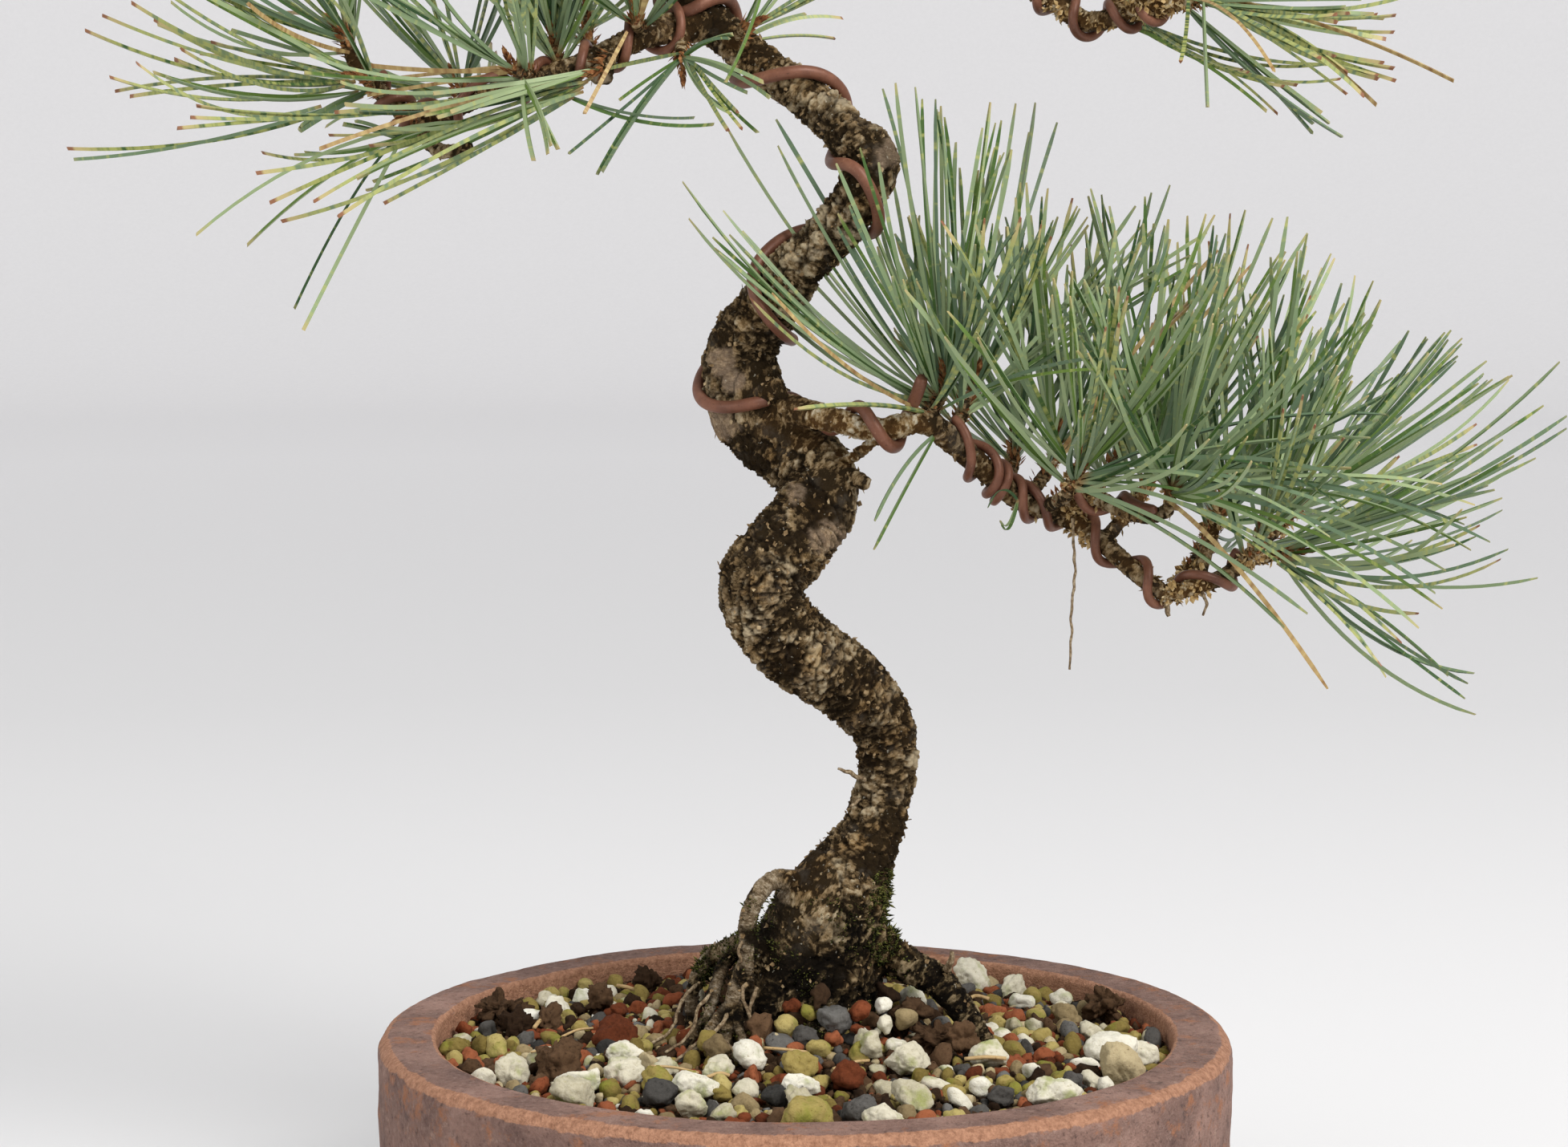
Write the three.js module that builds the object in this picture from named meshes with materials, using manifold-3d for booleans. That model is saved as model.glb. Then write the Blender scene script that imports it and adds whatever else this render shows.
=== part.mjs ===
// A trained five-needle pine, about 400 mm tall, in a round stoneware pot.
// Millimetres, +Z up. The origin is the middle of the pot's flat underside, +X is to the right
// of the tree's front view and -Y is towards the viewer of that front.
import * as THREE from 'three';
import { mergeVertices } from 'three/addons/utils/BufferGeometryUtils.js';
import Module from 'manifold-3d';

const wasm = await Module();
wasm.setup();

// ---------------------------------------------------------------- driving dimensions
const GAP = 0.35; // clearance between pieces that touch in the real thing

const POT_RADIUS = 90;
const POT_HEIGHT = 62;
const RIM_WIDTH = 12.3;
const POT_FLOOR = 8;
const POT_SEGMENTS = 40;
const SOIL_SEGMENTS = 20;
const RIM_ROUND = 3.5; // rounding of the rim's outer edge
const FOOT_ROUND = 9; // rounding between the wall and the underside
const POT_INSIDE = POT_RADIUS - RIM_WIDTH;

const DRAIN_COUNT = 3;
const DRAIN_RADIUS = 7.5;
const DRAIN_CIRCLE = 42;
const GROOVE_DEPTH = 3;
const GROOVE_WIDTH = 11;
const TIE_HOLE_RADIUS = 2.6;
const TIE_HALF_SPAN = 16; // from the pot's axis to each tie-wire hole, along X
const TIE_OFFSET = -14; // the tie wire's place along Y

const SCREEN_SIZE = 22;
const SCREEN_THICKNESS = 0.8;
const SCREEN_CELLS = 3;
const SCREEN_BAR = 1.4;

const SOIL_EDGE = 58.5; // soil height at the wall
const SOIL_LEVEL = 61; // soil height halfway in, round the mound
const LEVEL_RADIUS = 24;
const MOUND_RISE = 6; // how much higher the soil is heaped against the trunk
const MOUND_TOP_RADIUS = 8;
const MOUND_FOOT_RADIUS = 36;
const SOIL_RINGS = [57, 44, 34, 22, 10];

const TRUNK_WIRE_RADIUS = 1.35;
const BRANCH_WIRE_RADIUS = 1;
const TIE_WIRE_RADIUS = 0.8;
const TIE_WIRE_STEPS = 44;
const WIRE_STAND = 0.9; // from the bark to a wound wire, more than the sag of its straight steps

const NEEDLE_LENGTH = 66;
const SPIKE_CLEARANCE = 3; // least distance between the middle lines of two tufts' spikes
const CORE_RADIUS = 3.6;

const RIGHT = new THREE.Vector3(1, 0, 0);
const BACK = new THREE.Vector3(0, 1, 0);
const FRONT = new THREE.Vector3(0, -1, 0);
const UP = new THREE.Vector3(0, 0, 1);

// ---------------------------------------------------------------- materials
function paint(colour, roughness, metalness = 0) {
  return new THREE.MeshStandardMaterial({ color: colour, roughness, metalness });
}

const STONEWARE = paint(0x7b5a4c, 0.85);
const SOIL = paint(0x5a4030, 0.95);
const BARK = paint(0x6b5a45, 0.9);
const PLASTIC = paint(0x2b2b2b, 0.6);
const COPPER = paint(0x7a4a34, 0.4, 0.7);
const NEEDLES = paint(0x5f7a4a, 0.5);
const PUMICE = paint(0xd8d2c0, 0.9);
const HUMUS = paint(0x3a2418, 0.95);
const MOSS = paint(0x4f5a24, 0.95);

// ---------------------------------------------------------------- solids and meshes
function solidFrom(geometry) {
  const bare = geometry.clone();
  bare.deleteAttribute('normal');
  bare.deleteAttribute('uv');
  const merged = mergeVertices(bare, 1e-4);
  return new wasm.Manifold(new wasm.Mesh({
    numProp: 3,
    vertProperties: new Float32Array(merged.attributes.position.array),
    triVerts: new Uint32Array(merged.index.array),
  }));
}

function joined(solids) {
  return solids.reduce((whole, solid) => whole.add(solid));
}

function largestPart(solid) {
  const parts = solid.decompose();
  return parts.reduce((best, part) => (part.volume() > best.volume() ? part : best));
}

const bonsai = new THREE.Group();

function addPiece(name, solid, material) {
  const data = solid.getMesh();
  const geometry = new THREE.BufferGeometry();
  geometry.setAttribute('position', new THREE.BufferAttribute(data.vertProperties, 3));
  geometry.setIndex(new THREE.BufferAttribute(data.triVerts, 1));
  geometry.computeVertexNormals();
  const mesh = new THREE.Mesh(geometry, material);
  mesh.name = name;
  bonsai.add(mesh);
}

// ---------------------------------------------------------------- limbs
/** A limb is a smooth curve through stations [x, y, z, radius]; a place on it counts stations. */
function makeLimb(stations) {
  const points = stations.map(([x, y, z]) => new THREE.Vector3(x, y, z));
  const curve = new THREE.CatmullRomCurve3(points, false, 'centripetal');
  const last = stations.length - 1;
  return {
    last,
    at: (place) => curve.getPoint(place / last),
    heading: (place) => curve.getTangent(place / last),
    radius: (place) => {
      const index = Math.min(Math.floor(place), last - 1);
      return THREE.MathUtils.lerp(stations[index][3], stations[index + 1][3], place - index);
    },
  };
}

function squareTo(vector, ...axes) {
  const result = vector.clone();
  for (const axis of axes) {
    result.addScaledVector(axis, -result.dot(axis));
  }
  return result.normalize();
}

/** The limb's solid: rings of points round its curve, closed by a fan at each end. */
function limbSolid(limb, { sides = 5, ringsPerSpan = 1, grow = 0 } = {}) {
  const ringCount = limb.last * ringsPerSpan + 1;
  const positions = [];
  const triangles = [];
  let across = squareTo(Math.abs(limb.heading(0).x) < 0.8 ? RIGHT : BACK, limb.heading(0));
  for (let ring = 0; ring < ringCount; ring += 1) {
    const place = ring / ringsPerSpan;
    const heading = limb.heading(place);
    across = squareTo(across, heading);
    const third = new THREE.Vector3().crossVectors(heading, across);
    for (let side = 0; side < sides; side += 1) {
      const angle = (2 * Math.PI * side) / sides;
      const radius = limb.radius(place) + grow;
      const point = limb.at(place);
      point.addScaledVector(across, radius * Math.cos(angle));
      point.addScaledVector(third, radius * Math.sin(angle));
      positions.push(point.x, point.y, point.z);
    }
  }
  for (let ring = 0; ring < ringCount - 1; ring += 1) {
    for (let side = 0; side < sides; side += 1) {
      const a = ring * sides + side;
      const b = ring * sides + ((side + 1) % sides);
      triangles.push(a, b, b + sides, a, b + sides, a + sides);
    }
  }
  for (const [ring, step] of [[0, -1], [ringCount - 1, 1]]) {
    const place = ring / ringsPerSpan;
    const end = limb.at(place).addScaledVector(limb.heading(place), step * grow);
    const tip = positions.length / 3;
    positions.push(end.x, end.y, end.z);
    for (let side = 0; side < sides; side += 1) {
      const a = ring * sides + side;
      const b = ring * sides + ((side + 1) % sides);
      triangles.push(tip, step > 0 ? a : b, step > 0 ? b : a);
    }
  }
  const geometry = new THREE.BufferGeometry();
  geometry.setAttribute('position', new THREE.Float32BufferAttribute(positions, 3));
  geometry.setIndex(triangles);
  return solidFrom(geometry);
}

// The trunk, from its buried crown through four bends to the apex.
const TRUNK = makeLimb([
  [-3, 2, 44, 11], [-2, 2, 57, 14.5], [0, 1, 68, 15.5], [3, 0, 78, 14.5], [6, -1, 88, 12],
  [10, 0, 96.5, 9], [14, 1, 104, 7], [17, 3, 115, 6.3], [16.5, 2, 126, 7.2], [10, -1, 135, 8.2],
  [0, -5, 143, 8.8], [-7.5, -8, 151, 9], [-9, -9, 158, 9], [-3, -7, 166, 9], [2, -3, 172.5, 8.5],
  [2.5, 1, 179, 8.4], [-3, 5, 184.5, 8.7], [-10, 8, 191, 9], [-13, 9, 198, 8.7], [-13, 8, 206, 7.8],
  [-8, 5, 213.5, 6.8], [-0.5, 0, 224, 5.8], [6.5, -4, 231, 5.6], [11, -6, 237.5, 5.8], [13.5, -6, 244.5, 6],
  [8, -3, 251, 5], [1.5, 1, 257, 4.8], [-7, 4, 263, 4.6], [-13.5, 6, 268, 4.6], [-20, 8, 274, 4.6],
  [-25, 8, 279, 4.5], [-26, 7, 288, 4.2], [-18, 4, 299, 3.9], [-7, 0, 309, 3.5], [-3, -4, 320, 3],
  [-8, -6, 331, 2.4], [-12, -6, 342, 1.8],
]);

const RIGHT_BRANCH = makeLimb([
  [-8, 6, 193, 4], [-1, -2, 193, 3.2], [7, -8, 191.5, 2.7], [16, -10, 190, 2.6], [24.5, -8, 191.5, 2.7],
  [30, -5, 187.5, 2.8], [38.5, -2, 180, 2.6], [44, 0, 175, 2.4], [54, 2, 171, 2.3], [62, 0, 165.5, 2.1],
  [71, -4, 158, 2], [75.5, -6, 155.5, 1.9], [81, -6, 157, 1.9], [87, -3, 158.5, 1.8], [92, 0, 161.5, 1.7],
  [98, 2, 162.5, 1.6],
]);

const MIDDLE_TWIG = makeLimb([
  [53, 2, 171, 2], [58, -4, 176, 1.9], [64, -9, 174, 1.9], [69.5, -14, 172.5, 1.7], [74, -17, 174, 1.5],
  [74.5, -20, 179, 1.3],
]);

const LEFT_BRANCH = makeLimb([
  [-20, 7, 273, 4], [-27, 3, 272, 3.4], [-33, -2, 270.5, 3], [-41, -6, 266.5, 2.6], [-49.5, -9, 263, 2.4],
  [-59, -8, 260, 2.3], [-67.5, -5, 257.5, 2.2], [-74.5, -2, 254.5, 2.1], [-81, 0, 253.5, 2.1],
  [-85.5, 2, 257, 2], [-89.5, 4, 260.5, 1.8], [-93, 4, 265, 1.7], [-95, 4, 270, 1.5],
]);

const UPPER_BRANCH = makeLimb([
  [-20, 4, 297, 3.2], [-10, 9, 303, 3], [6, 14, 302, 2.8], [22, 14, 294, 2.6], [38, 13, 285, 2.5],
  [50, 10, 279, 2.4], [58, 8, 273.5, 2.3], [66, 4, 274.5, 2.1], [72, 0, 276, 1.9], [79, -4, 277.5, 1.6],
]);

// Exposed roots, each running from inside the trunk down into the soil.
const ROOTS = [
  [[5, -3, 91, 3], [-2, -5, 94.5, 2.6], [-7, -7, 95, 2.1], [-10.5, -9, 91, 2], [-12, -10, 86, 2],
    [-11.5, -11, 81, 1.9], [-13.5, -12, 75, 1.9], [-15.5, -14, 68, 1.9], [-17, -14, 57, 1.5]],
  [[-14, -13, 72, 1.3], [-13.5, -16, 66, 1.1], [-11, -18, 56, 0.9]],
  [[-15, -13, 71, 1.4], [-19, -15, 66.5, 1.2], [-25, -18, 57, 0.9]],
  [[-3, -4, 86, 3], [-9, -2, 81, 2.6], [-15, 2, 79, 2.5], [-20.5, 4, 75.5, 2.1], [-23.5, 2, 70, 1.6],
    [-24, 0, 57, 1.2]],
  [[-9, -5, 82, 2], [-16, -5, 78, 1.7], [-18.5, -8, 73, 1.5], [-20, -10, 68, 1.3], [-28, -12, 57, 1]],
  [[-8, -7, 82, 1.8], [-13, -8, 77, 1.5], [-15, -9, 72, 1.3], [-18, -11, 57, 1.1]],
  [[8, 0, 84, 6], [15, -1, 80, 5], [22, -3, 76, 4], [28, -4, 73, 3.6], [34, -6, 66, 3], [41, -8, 55, 2.2]],
  [[2, 6, 76, 7], [6, 17, 69, 5], [10, 30, 56, 3]],
  [[-4, 6, 74, 6], [-16, 16, 66, 4], [-27, 24, 55, 2.4]],
  [[0, -6, 70, 6], [4, -15, 63, 4], [7, -23, 54, 2.2]],
];

const BURIED_ROOT_COUNT = 6;
const BURIED_ROOT_REACH = 56;

function buriedRoot(index) {
  const angle = ((index + 0.25) * 2 * Math.PI) / BURIED_ROOT_COUNT;
  const stations = [[4, 50, 5], [20, 44, 3.6], [38, 36, 2.4], [BURIED_ROOT_REACH, 30, 1.2]];
  return stations.map(([reach, z, radius]) => [reach * Math.cos(angle), reach * Math.sin(angle), z, radius]);
}

// Stubs and snags left by pruning, and the knob on the outside of the third bend.
const STUBS = [
  [[4, -2, 181, 1.7], [9, -3, 183, 1.4], [14, -6, 187, 1.3], [18.5, -10, 190.5, 1.2]],
  [[7, -4, 181, 2.2], [13, -8, 178.5, 1.6]],
  [[-11, 3, 195, 3.2], [-5, -2, 198, 2.2]],
  [[10, -6, 244, 5.5], [16.5, -7, 242, 4]],
  [[-41, -6, 266.5, 2.6], [-41.5, -10, 261.5, 2.5]],
  [[-80, -1, 253.5, 1.9], [-75, -6, 247, 1.7], [-68, -8, 247.5, 1.4]],
];

// ---------------------------------------------------------------- shoots
// Each shoot ends a twig and carries one tuft of needles:
// name, twig stations (the last is the shoot's end), the tuft's heading, its half-angle, its spikes.
const SHOOTS = [
  ['right_01', [[24, -8, 191, 1.8], [27, -8, 195, 1.6], [29, -8, 199, 1.4]], [-0.4, -0.2, 0.9], 62, 16],
  ['right_02', [[30, -5, 188, 1.8], [33, 0, 193, 1.6], [35.5, 5, 197, 1.4]], [0.2, 0.15, 0.97], 50, 14],
  ['right_03', [[40, -1, 178.5, 1.7], [44, 13, 180, 1.5], [45, 24, 184, 1.3]], [-0.1, 0.6, 0.8], 50, 12],
  ['right_04', [[46, 0, 174.5, 1.7], [51, 6, 180, 1.5], [53.5, 10, 185, 1.3]], [0.1, 0.1, 1], 40, 12],
  ['right_05', [[50, 1, 172.5, 1.7], [54, -12, 177, 1.5], [56, -20, 183, 1.3]], [0, -0.55, 0.85], 48, 12],
  ['right_06', [[56, 2, 170, 1.7], [62, 16, 175, 1.5], [68, 28, 181, 1.3]], [0.1, 0.6, 0.8], 48, 12],
  ['right_07', [[74, -19, 177, 1.4], [74.5, -20, 179, 1.3]], [0.2, -0.45, 0.87], 50, 14],
  ['right_08', [[62, 0, 165.5, 1.7], [70, 5, 174, 1.5], [74, 8, 181, 1.3]], [0.2, 0.1, 0.97], 42, 12],
  ['right_09', [[76, -6, 156, 1.6], [84, 12, 162, 1.5], [89, 30, 169, 1.3]], [0.35, 0.65, 0.68], 50, 12],
  ['right_10', [[90, -1, 160, 1.6], [94, -6, 165, 1.5], [95, -8, 170.5, 1.3]], [0.35, -0.35, 0.88], 48, 14],
  ['right_11', [[97, 2, 162.5, 1.6], [101, 3, 163, 1.4]], [0.96, -0.1, 0.1], 44, 14],
  ['right_12', [[88, -3, 159, 1.6], [100, 12, 167, 1.5], [107, 19, 173, 1.3]], [0.65, 0.35, 0.68], 48, 14],
  ['right_13', [[81, -6, 157, 1.6], [86, 5, 168, 1.5], [89.5, 11, 177, 1.3]], [0.25, 0.2, 0.95], 40, 12],
  ['left_01', [[-93, 4, 265, 1.6], [-95, 4, 271, 1.4]], [-0.75, 0.05, 0.66], 55, 16],
  ['left_02', [[-87, 2, 258, 1.6], [-88.5, -8, 262, 1.3]], [-0.9, -0.4, 0.1], 45, 12],
  ['left_03', [[-80, 0, 253.5, 1.6], [-80, -10, 256, 1.3]], [-0.6, -0.5, -0.55], 55, 12],
  ['left_04', [[-69, -4, 257, 1.6], [-71, 8, 258, 1.5], [-72, 16, 260, 1.3]], [-0.4, 0.7, 0.6], 50, 12],
  ['left_05', [[-39, -5, 267, 1.6], [-41, -14, 263.5, 1.3]], [-0.93, -0.25, -0.25], 26, 12],
  ['left_06', [[-54, -9, 261.5, 1.6], [-58, -22, 263, 1.3]], [-0.35, -0.6, 0.7], 48, 12],
  ['left_07', [[-50, -9, 263, 1.6], [-51, -4, 266, 1.5], [-52, 0, 270, 1.3]], [-0.15, 0.1, 0.98], 46, 14],
  ['left_08', [[-42, -6, 266, 1.6], [-45, 6, 269, 1.5], [-45.5, 14, 274, 1.3]], [-0.1, 0.6, 0.8], 48, 12],
  ['left_09', [[-33, -2, 270.5, 1.6], [-34.5, -10, 273, 1.3]], [-0.1, -0.5, 0.85], 50, 12],
  ['left_10', [[-25, 3, 271, 1.6], [-25.5, -5, 266.5, 1.3]], [0.1, -0.3, -0.95], 68, 8],
  ['left_11', [[-15, 6, 269, 1.5], [-12.5, -3, 272, 1.3]], [0.85, -0.2, 0.4], 40, 8],
  ['upper_01', [[76, -2, 277, 1.5], [81, -5, 278, 1.3]], [0.97, -0.1, -0.2], 42, 14],
  ['upper_02', [[64, 5, 274.5, 1.6], [67, 12, 281.5, 1.3]], [0.3, 0.6, 0.75], 48, 12],
  ['upper_03', [[70, 1, 275.5, 1.6], [80, 8, 281, 1.5], [86, 11, 285, 1.3]], [0.75, 0.4, 0.5], 46, 12],
  ['upper_04', [[67, 3, 275, 1.6], [71, -9, 281, 1.5], [72, -16, 287, 1.3]], [0.2, -0.6, 0.78], 48, 12],
  ['apex_01', [[-12, -6, 341, 1.8], [-12, -6, 346, 1.4]], [0, 0, 1], 50, 14],
  ['apex_02', [[-4, -5, 323, 1.8], [5, -1, 327, 1.6], [12, 2, 333, 1.3]], [0.75, 0.2, 0.6], 48, 12],
  ['apex_03', [[-6, -5, 327, 1.8], [-17, -3, 329, 1.6], [-26, -1, 333, 1.3]], [-0.75, 0.1, 0.6], 48, 12],
  ['apex_04', [[-4, -4, 321, 1.8], [-6, 9, 324, 1.6], [-7, 18, 329, 1.3]], [0, 0.8, 0.6], 48, 12],
  ['apex_05', [[-7, -6, 329, 1.8], [-9, -16, 331, 1.6], [-10, -23, 335, 1.3]], [0, -0.8, 0.6], 48, 12],
];

function woodSolid(grow) {
  const twigs = SHOOTS.map(([, stations]) => stations);
  const buried = Array.from({ length: BURIED_ROOT_COUNT }, (_, index) => buriedRoot(index));
  const thin = [...ROOTS, ...buried, ...STUBS, ...twigs].map(makeLimb);
  const thick = [RIGHT_BRANCH, MIDDLE_TWIG, LEFT_BRANCH, UPPER_BRANCH];
  return joined([
    limbSolid(TRUNK, { sides: 10, grow }),
    ...thick.map((limb) => limbSolid(limb, { sides: 6, grow })),
    ...thin.map((limb) => limbSolid(limb, { grow })),
  ]);
}

// ---------------------------------------------------------------- wires
const STEPS_PER_TURN = 8;

/** The point beside a limb's bark at a place and a number of turns from `zero` towards `quarter`. */
function besideBark(limb, place, turns, stand, zero, quarter) {
  const heading = limb.heading(place);
  const first = squareTo(zero, heading);
  const second = squareTo(quarter, heading, first);
  const reach = limb.radius(place) + stand;
  const point = limb.at(place);
  point.addScaledVector(first, reach * Math.cos(2 * Math.PI * turns));
  point.addScaledVector(second, reach * Math.sin(2 * Math.PI * turns));
  return point;
}

/** The route of a wire wound on a limb, through hand-chosen stations [place, turns]. */
function winding(limb, stations, wireRadius, zero, quarter) {
  const points = [];
  stations.slice(1).forEach(([endPlace, endTurns], index) => {
    const [startPlace, startTurns] = stations[index];
    const steps = Math.max(1, Math.round(Math.abs(endTurns - startTurns) * STEPS_PER_TURN));
    for (let step = index === 0 ? 0 : 1; step <= steps; step += 1) {
      const place = THREE.MathUtils.lerp(startPlace, endPlace, step / steps);
      const turns = THREE.MathUtils.lerp(startTurns, endTurns, step / steps);
      points.push(besideBark(limb, place, turns, wireRadius + WIRE_STAND, zero, quarter));
    }
  });
  return points;
}

function wireSolid(points, radius, { grow = 0, steps = points.length } = {}) {
  const section = new THREE.Shape();
  const sides = 5;
  for (let side = 0; side < sides; side += 1) {
    const angle = (2 * Math.PI * side) / sides;
    const corner = [(radius + grow) * Math.cos(angle), (radius + grow) * Math.sin(angle)];
    if (side === 0) {
      section.moveTo(...corner);
    } else {
      section.lineTo(...corner);
    }
  }
  const path = new THREE.CatmullRomCurve3(points, false, 'centripetal');
  const geometry = new THREE.ExtrudeGeometry(section, {
    steps,
    bevelEnabled: false,
    extrudePath: path,
  });
  return solidFrom(geometry);
}

const at = (x, y, z) => new THREE.Vector3(x, y, z);

function trunkWireRoute() {
  const onTrunk = [
    [35.3, -2.5], [34, -2], [32.5, -1.5], [31.2, -1], [30, -0.5], [28.9, 0], [27.4, 0.5], [25.7, 1],
    [24.6, 1.5], [22.4, 2], [20.5, 2.5], [19.8, 3], [18, 3.5], [16.5, 3.95],
  ];
  const onBranch = [[1.6, -0.45], [2.4, 0], [2.9, 0.25], [3.2, 0.5], [3.7, 0.8]];
  return [
    ...winding(TRUNK, onTrunk, TRUNK_WIRE_RADIUS, RIGHT, BACK),
    ...winding(RIGHT_BRANCH, onBranch, TRUNK_WIRE_RADIUS, UP, FRONT),
    at(23, -13, 195),
    at(24, -14, 201),
  ];
}

const WIRES = {
  trunk_wire: [trunkWireRoute(), TRUNK_WIRE_RADIUS],
  right_branch_wire: [
    winding(RIGHT_BRANCH, [
      [4.75, 0], [5.5, 0.3], [5.8, 0.6], [6.1, 1], [6.4, 1.3], [7, 1.95], [7.55, 2.25], [8, 2.6], [8.6, 3],
      [9, 3.3], [9.8, 4], [10.3, 4.25], [10.9, 4.6], [11.8, 5], [12.7, 5.25], [13.3, 5.5], [14, 5.9],
    ], BRANCH_WIRE_RADIUS, UP, FRONT),
    BRANCH_WIRE_RADIUS,
  ],
  middle_twig_wire: [
    [
      ...winding(RIGHT_BRANCH, [
        [5.3, -0.2], [6.1, 0.25], [6.6, 0.9], [7.1, 1.3], [7.7, 1.75],
      ], BRANCH_WIRE_RADIUS, UP, FRONT),
      ...winding(MIDDLE_TWIG, [
        [0.5, -0.25], [0.8, 0], [1.1, 0.25], [1.6, 0.6], [2.2, 1], [3, 1.15], [3.8, 1.2],
      ], BRANCH_WIRE_RADIUS, UP, FRONT),
    ],
    BRANCH_WIRE_RADIUS,
  ],
  left_branch_wire: [
    winding(LEFT_BRANCH, [
      [0.9, 0], [1.2, 0.25], [1.6, 0.6], [2.2, 1], [2.7, 1.3], [3.3, 2], [3.7, 2.25], [4.3, 3], [4.7, 3.3],
      [5.4, 4], [6.3, 4.25], [6.8, 4.6], [7.4, 5], [8, 5.3], [8.6, 6], [9.2, 6.4], [10, 7],
    ], BRANCH_WIRE_RADIUS, UP, FRONT),
    BRANCH_WIRE_RADIUS,
  ],
  upper_branch_wire: [
    winding(UPPER_BRANCH, [
      [1.5, 0], [2.3, 1], [3.1, 2], [3.9, 3], [4.7, 4], [5.5, 5], [6.2, 5.6], [7, 6.3], [7.8, 7.3], [8.4, 8],
    ], BRANCH_WIRE_RADIUS, UP, FRONT),
    BRANCH_WIRE_RADIUS,
  ],
};

/** The tie wire runs under the pot's floor, up both holes and over the roots inside the soil. */
function tieWireRoute() {
  const low = GROOVE_DEPTH / 2;
  const side = TIE_HALF_SPAN;
  return [
    at(0, TIE_OFFSET, low),
    at(side - 2.5, TIE_OFFSET, low),
    at(side, TIE_OFFSET, low + 2.5),
    at(side, TIE_OFFSET, POT_FLOOR),
    at(side, TIE_OFFSET, 30),
    at(side - 2, TIE_OFFSET, 47),
    at(side - 7, TIE_OFFSET - 4, 52),
    at(0, TIE_OFFSET - 6, 53),
    at(7 - side, TIE_OFFSET - 4, 52),
    at(2 - side, TIE_OFFSET, 47),
    at(-side, TIE_OFFSET, 30),
    at(-side, TIE_OFFSET, POT_FLOOR),
    at(-side, TIE_OFFSET, low + 2.5),
    at(2.5 - side, TIE_OFFSET, low),
    at(-3, TIE_OFFSET, low),
  ];
}

// ---------------------------------------------------------------- pot, screens and soil
/** Points on a quarter round from one angle to another, in a lathe's radius-height plane. */
function quarterRound(centreRadius, centreHeight, radius, startDegrees, endDegrees, steps = 3) {
  return Array.from({ length: steps + 1 }, (_, step) => {
    const angle = THREE.MathUtils.degToRad(THREE.MathUtils.lerp(startDegrees, endDegrees, step / steps));
    return [centreRadius + radius * Math.cos(angle), centreHeight + radius * Math.sin(angle)];
  });
}

/** A lathe's solid, its axis upright. */
function turned(profile, segments) {
  const points = profile.map(([radius, height]) => new THREE.Vector2(radius, height));
  return solidFrom(new THREE.LatheGeometry(points, segments).rotateX(Math.PI / 2));
}

function uprightCylinder(radius, low, high, x, y) {
  const geometry = new THREE.CylinderGeometry(radius, radius, high - low, 16).rotateX(Math.PI / 2);
  return solidFrom(geometry.translate(x, y, (low + high) / 2));
}

function block(sizeX, sizeY, sizeZ, x, y, z) {
  return solidFrom(new THREE.BoxGeometry(sizeX, sizeY, sizeZ).translate(x, y, z));
}

function drainAngle(index) {
  return Math.PI / 2 + (index * 2 * Math.PI) / DRAIN_COUNT;
}

function potSolid() {
  const wallFoot = POT_RADIUS - 1;
  const body = turned([
    [0, 0],
    ...quarterRound(wallFoot - FOOT_ROUND, FOOT_ROUND, FOOT_ROUND, -90, 0, 4),
    ...quarterRound(POT_RADIUS - RIM_ROUND, POT_HEIGHT - RIM_ROUND, RIM_ROUND, 0, 90),
    ...quarterRound(POT_INSIDE + 1.5, POT_HEIGHT - 1.5, 1.5, 90, 180, 2),
    ...quarterRound(POT_INSIDE - 8, POT_FLOOR + 8, 8, 0, -90),
    [0, POT_FLOOR],
  ], POT_SEGMENTS);
  const cuts = [];
  for (let index = 0; index < DRAIN_COUNT; index += 1) {
    const angle = drainAngle(index);
    const [cos, sin] = [Math.cos(angle), Math.sin(angle)];
    cuts.push(uprightCylinder(DRAIN_RADIUS, -1, POT_FLOOR + 1, DRAIN_CIRCLE * cos, DRAIN_CIRCLE * sin));
    const length = POT_RADIUS + 4 - DRAIN_CIRCLE;
    const groove = new THREE.BoxGeometry(length, GROOVE_WIDTH, 2 * GROOVE_DEPTH);
    groove.translate(DRAIN_CIRCLE + length / 2, 0, 0).rotateZ(angle);
    cuts.push(solidFrom(groove));
  }
  for (const side of [-1, 1]) {
    cuts.push(uprightCylinder(TIE_HOLE_RADIUS, -1, POT_FLOOR + 1, side * TIE_HALF_SPAN, TIE_OFFSET));
  }
  const tieGroove = 2 * (TIE_HALF_SPAN + TIE_HOLE_RADIUS);
  cuts.push(block(tieGroove, 2 * TIE_HOLE_RADIUS, 2 * GROOVE_DEPTH, 0, TIE_OFFSET, 0));
  return cuts.reduce((pot, cut) => pot.subtract(cut), body);
}

/** A moulded mesh: a square sheet with rows of square cells cut through it. */
function screenSolid(index) {
  const height = POT_FLOOR + GAP + SCREEN_THICKNESS / 2;
  const placed = (geometry) => solidFrom(placedOverDrain(geometry, index, height));
  const pitch = (SCREEN_SIZE - SCREEN_BAR) / SCREEN_CELLS;
  const cell = pitch - SCREEN_BAR;
  let sheet = placed(new THREE.BoxGeometry(SCREEN_SIZE, SCREEN_SIZE, SCREEN_THICKNESS));
  for (let column = 0; column < SCREEN_CELLS; column += 1) {
    for (let row = 0; row < SCREEN_CELLS; row += 1) {
      const hole = new THREE.BoxGeometry(cell, cell, 2 * SCREEN_THICKNESS);
      const middle = (SCREEN_CELLS - 1) / 2;
      sheet = sheet.subtract(placed(hole.translate((column - middle) * pitch, (row - middle) * pitch, 0)));
    }
  }
  return sheet;
}

function placedOverDrain(geometry, index, height) {
  return geometry.translate(DRAIN_CIRCLE, 0, height).rotateZ(drainAngle(index));
}

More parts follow.
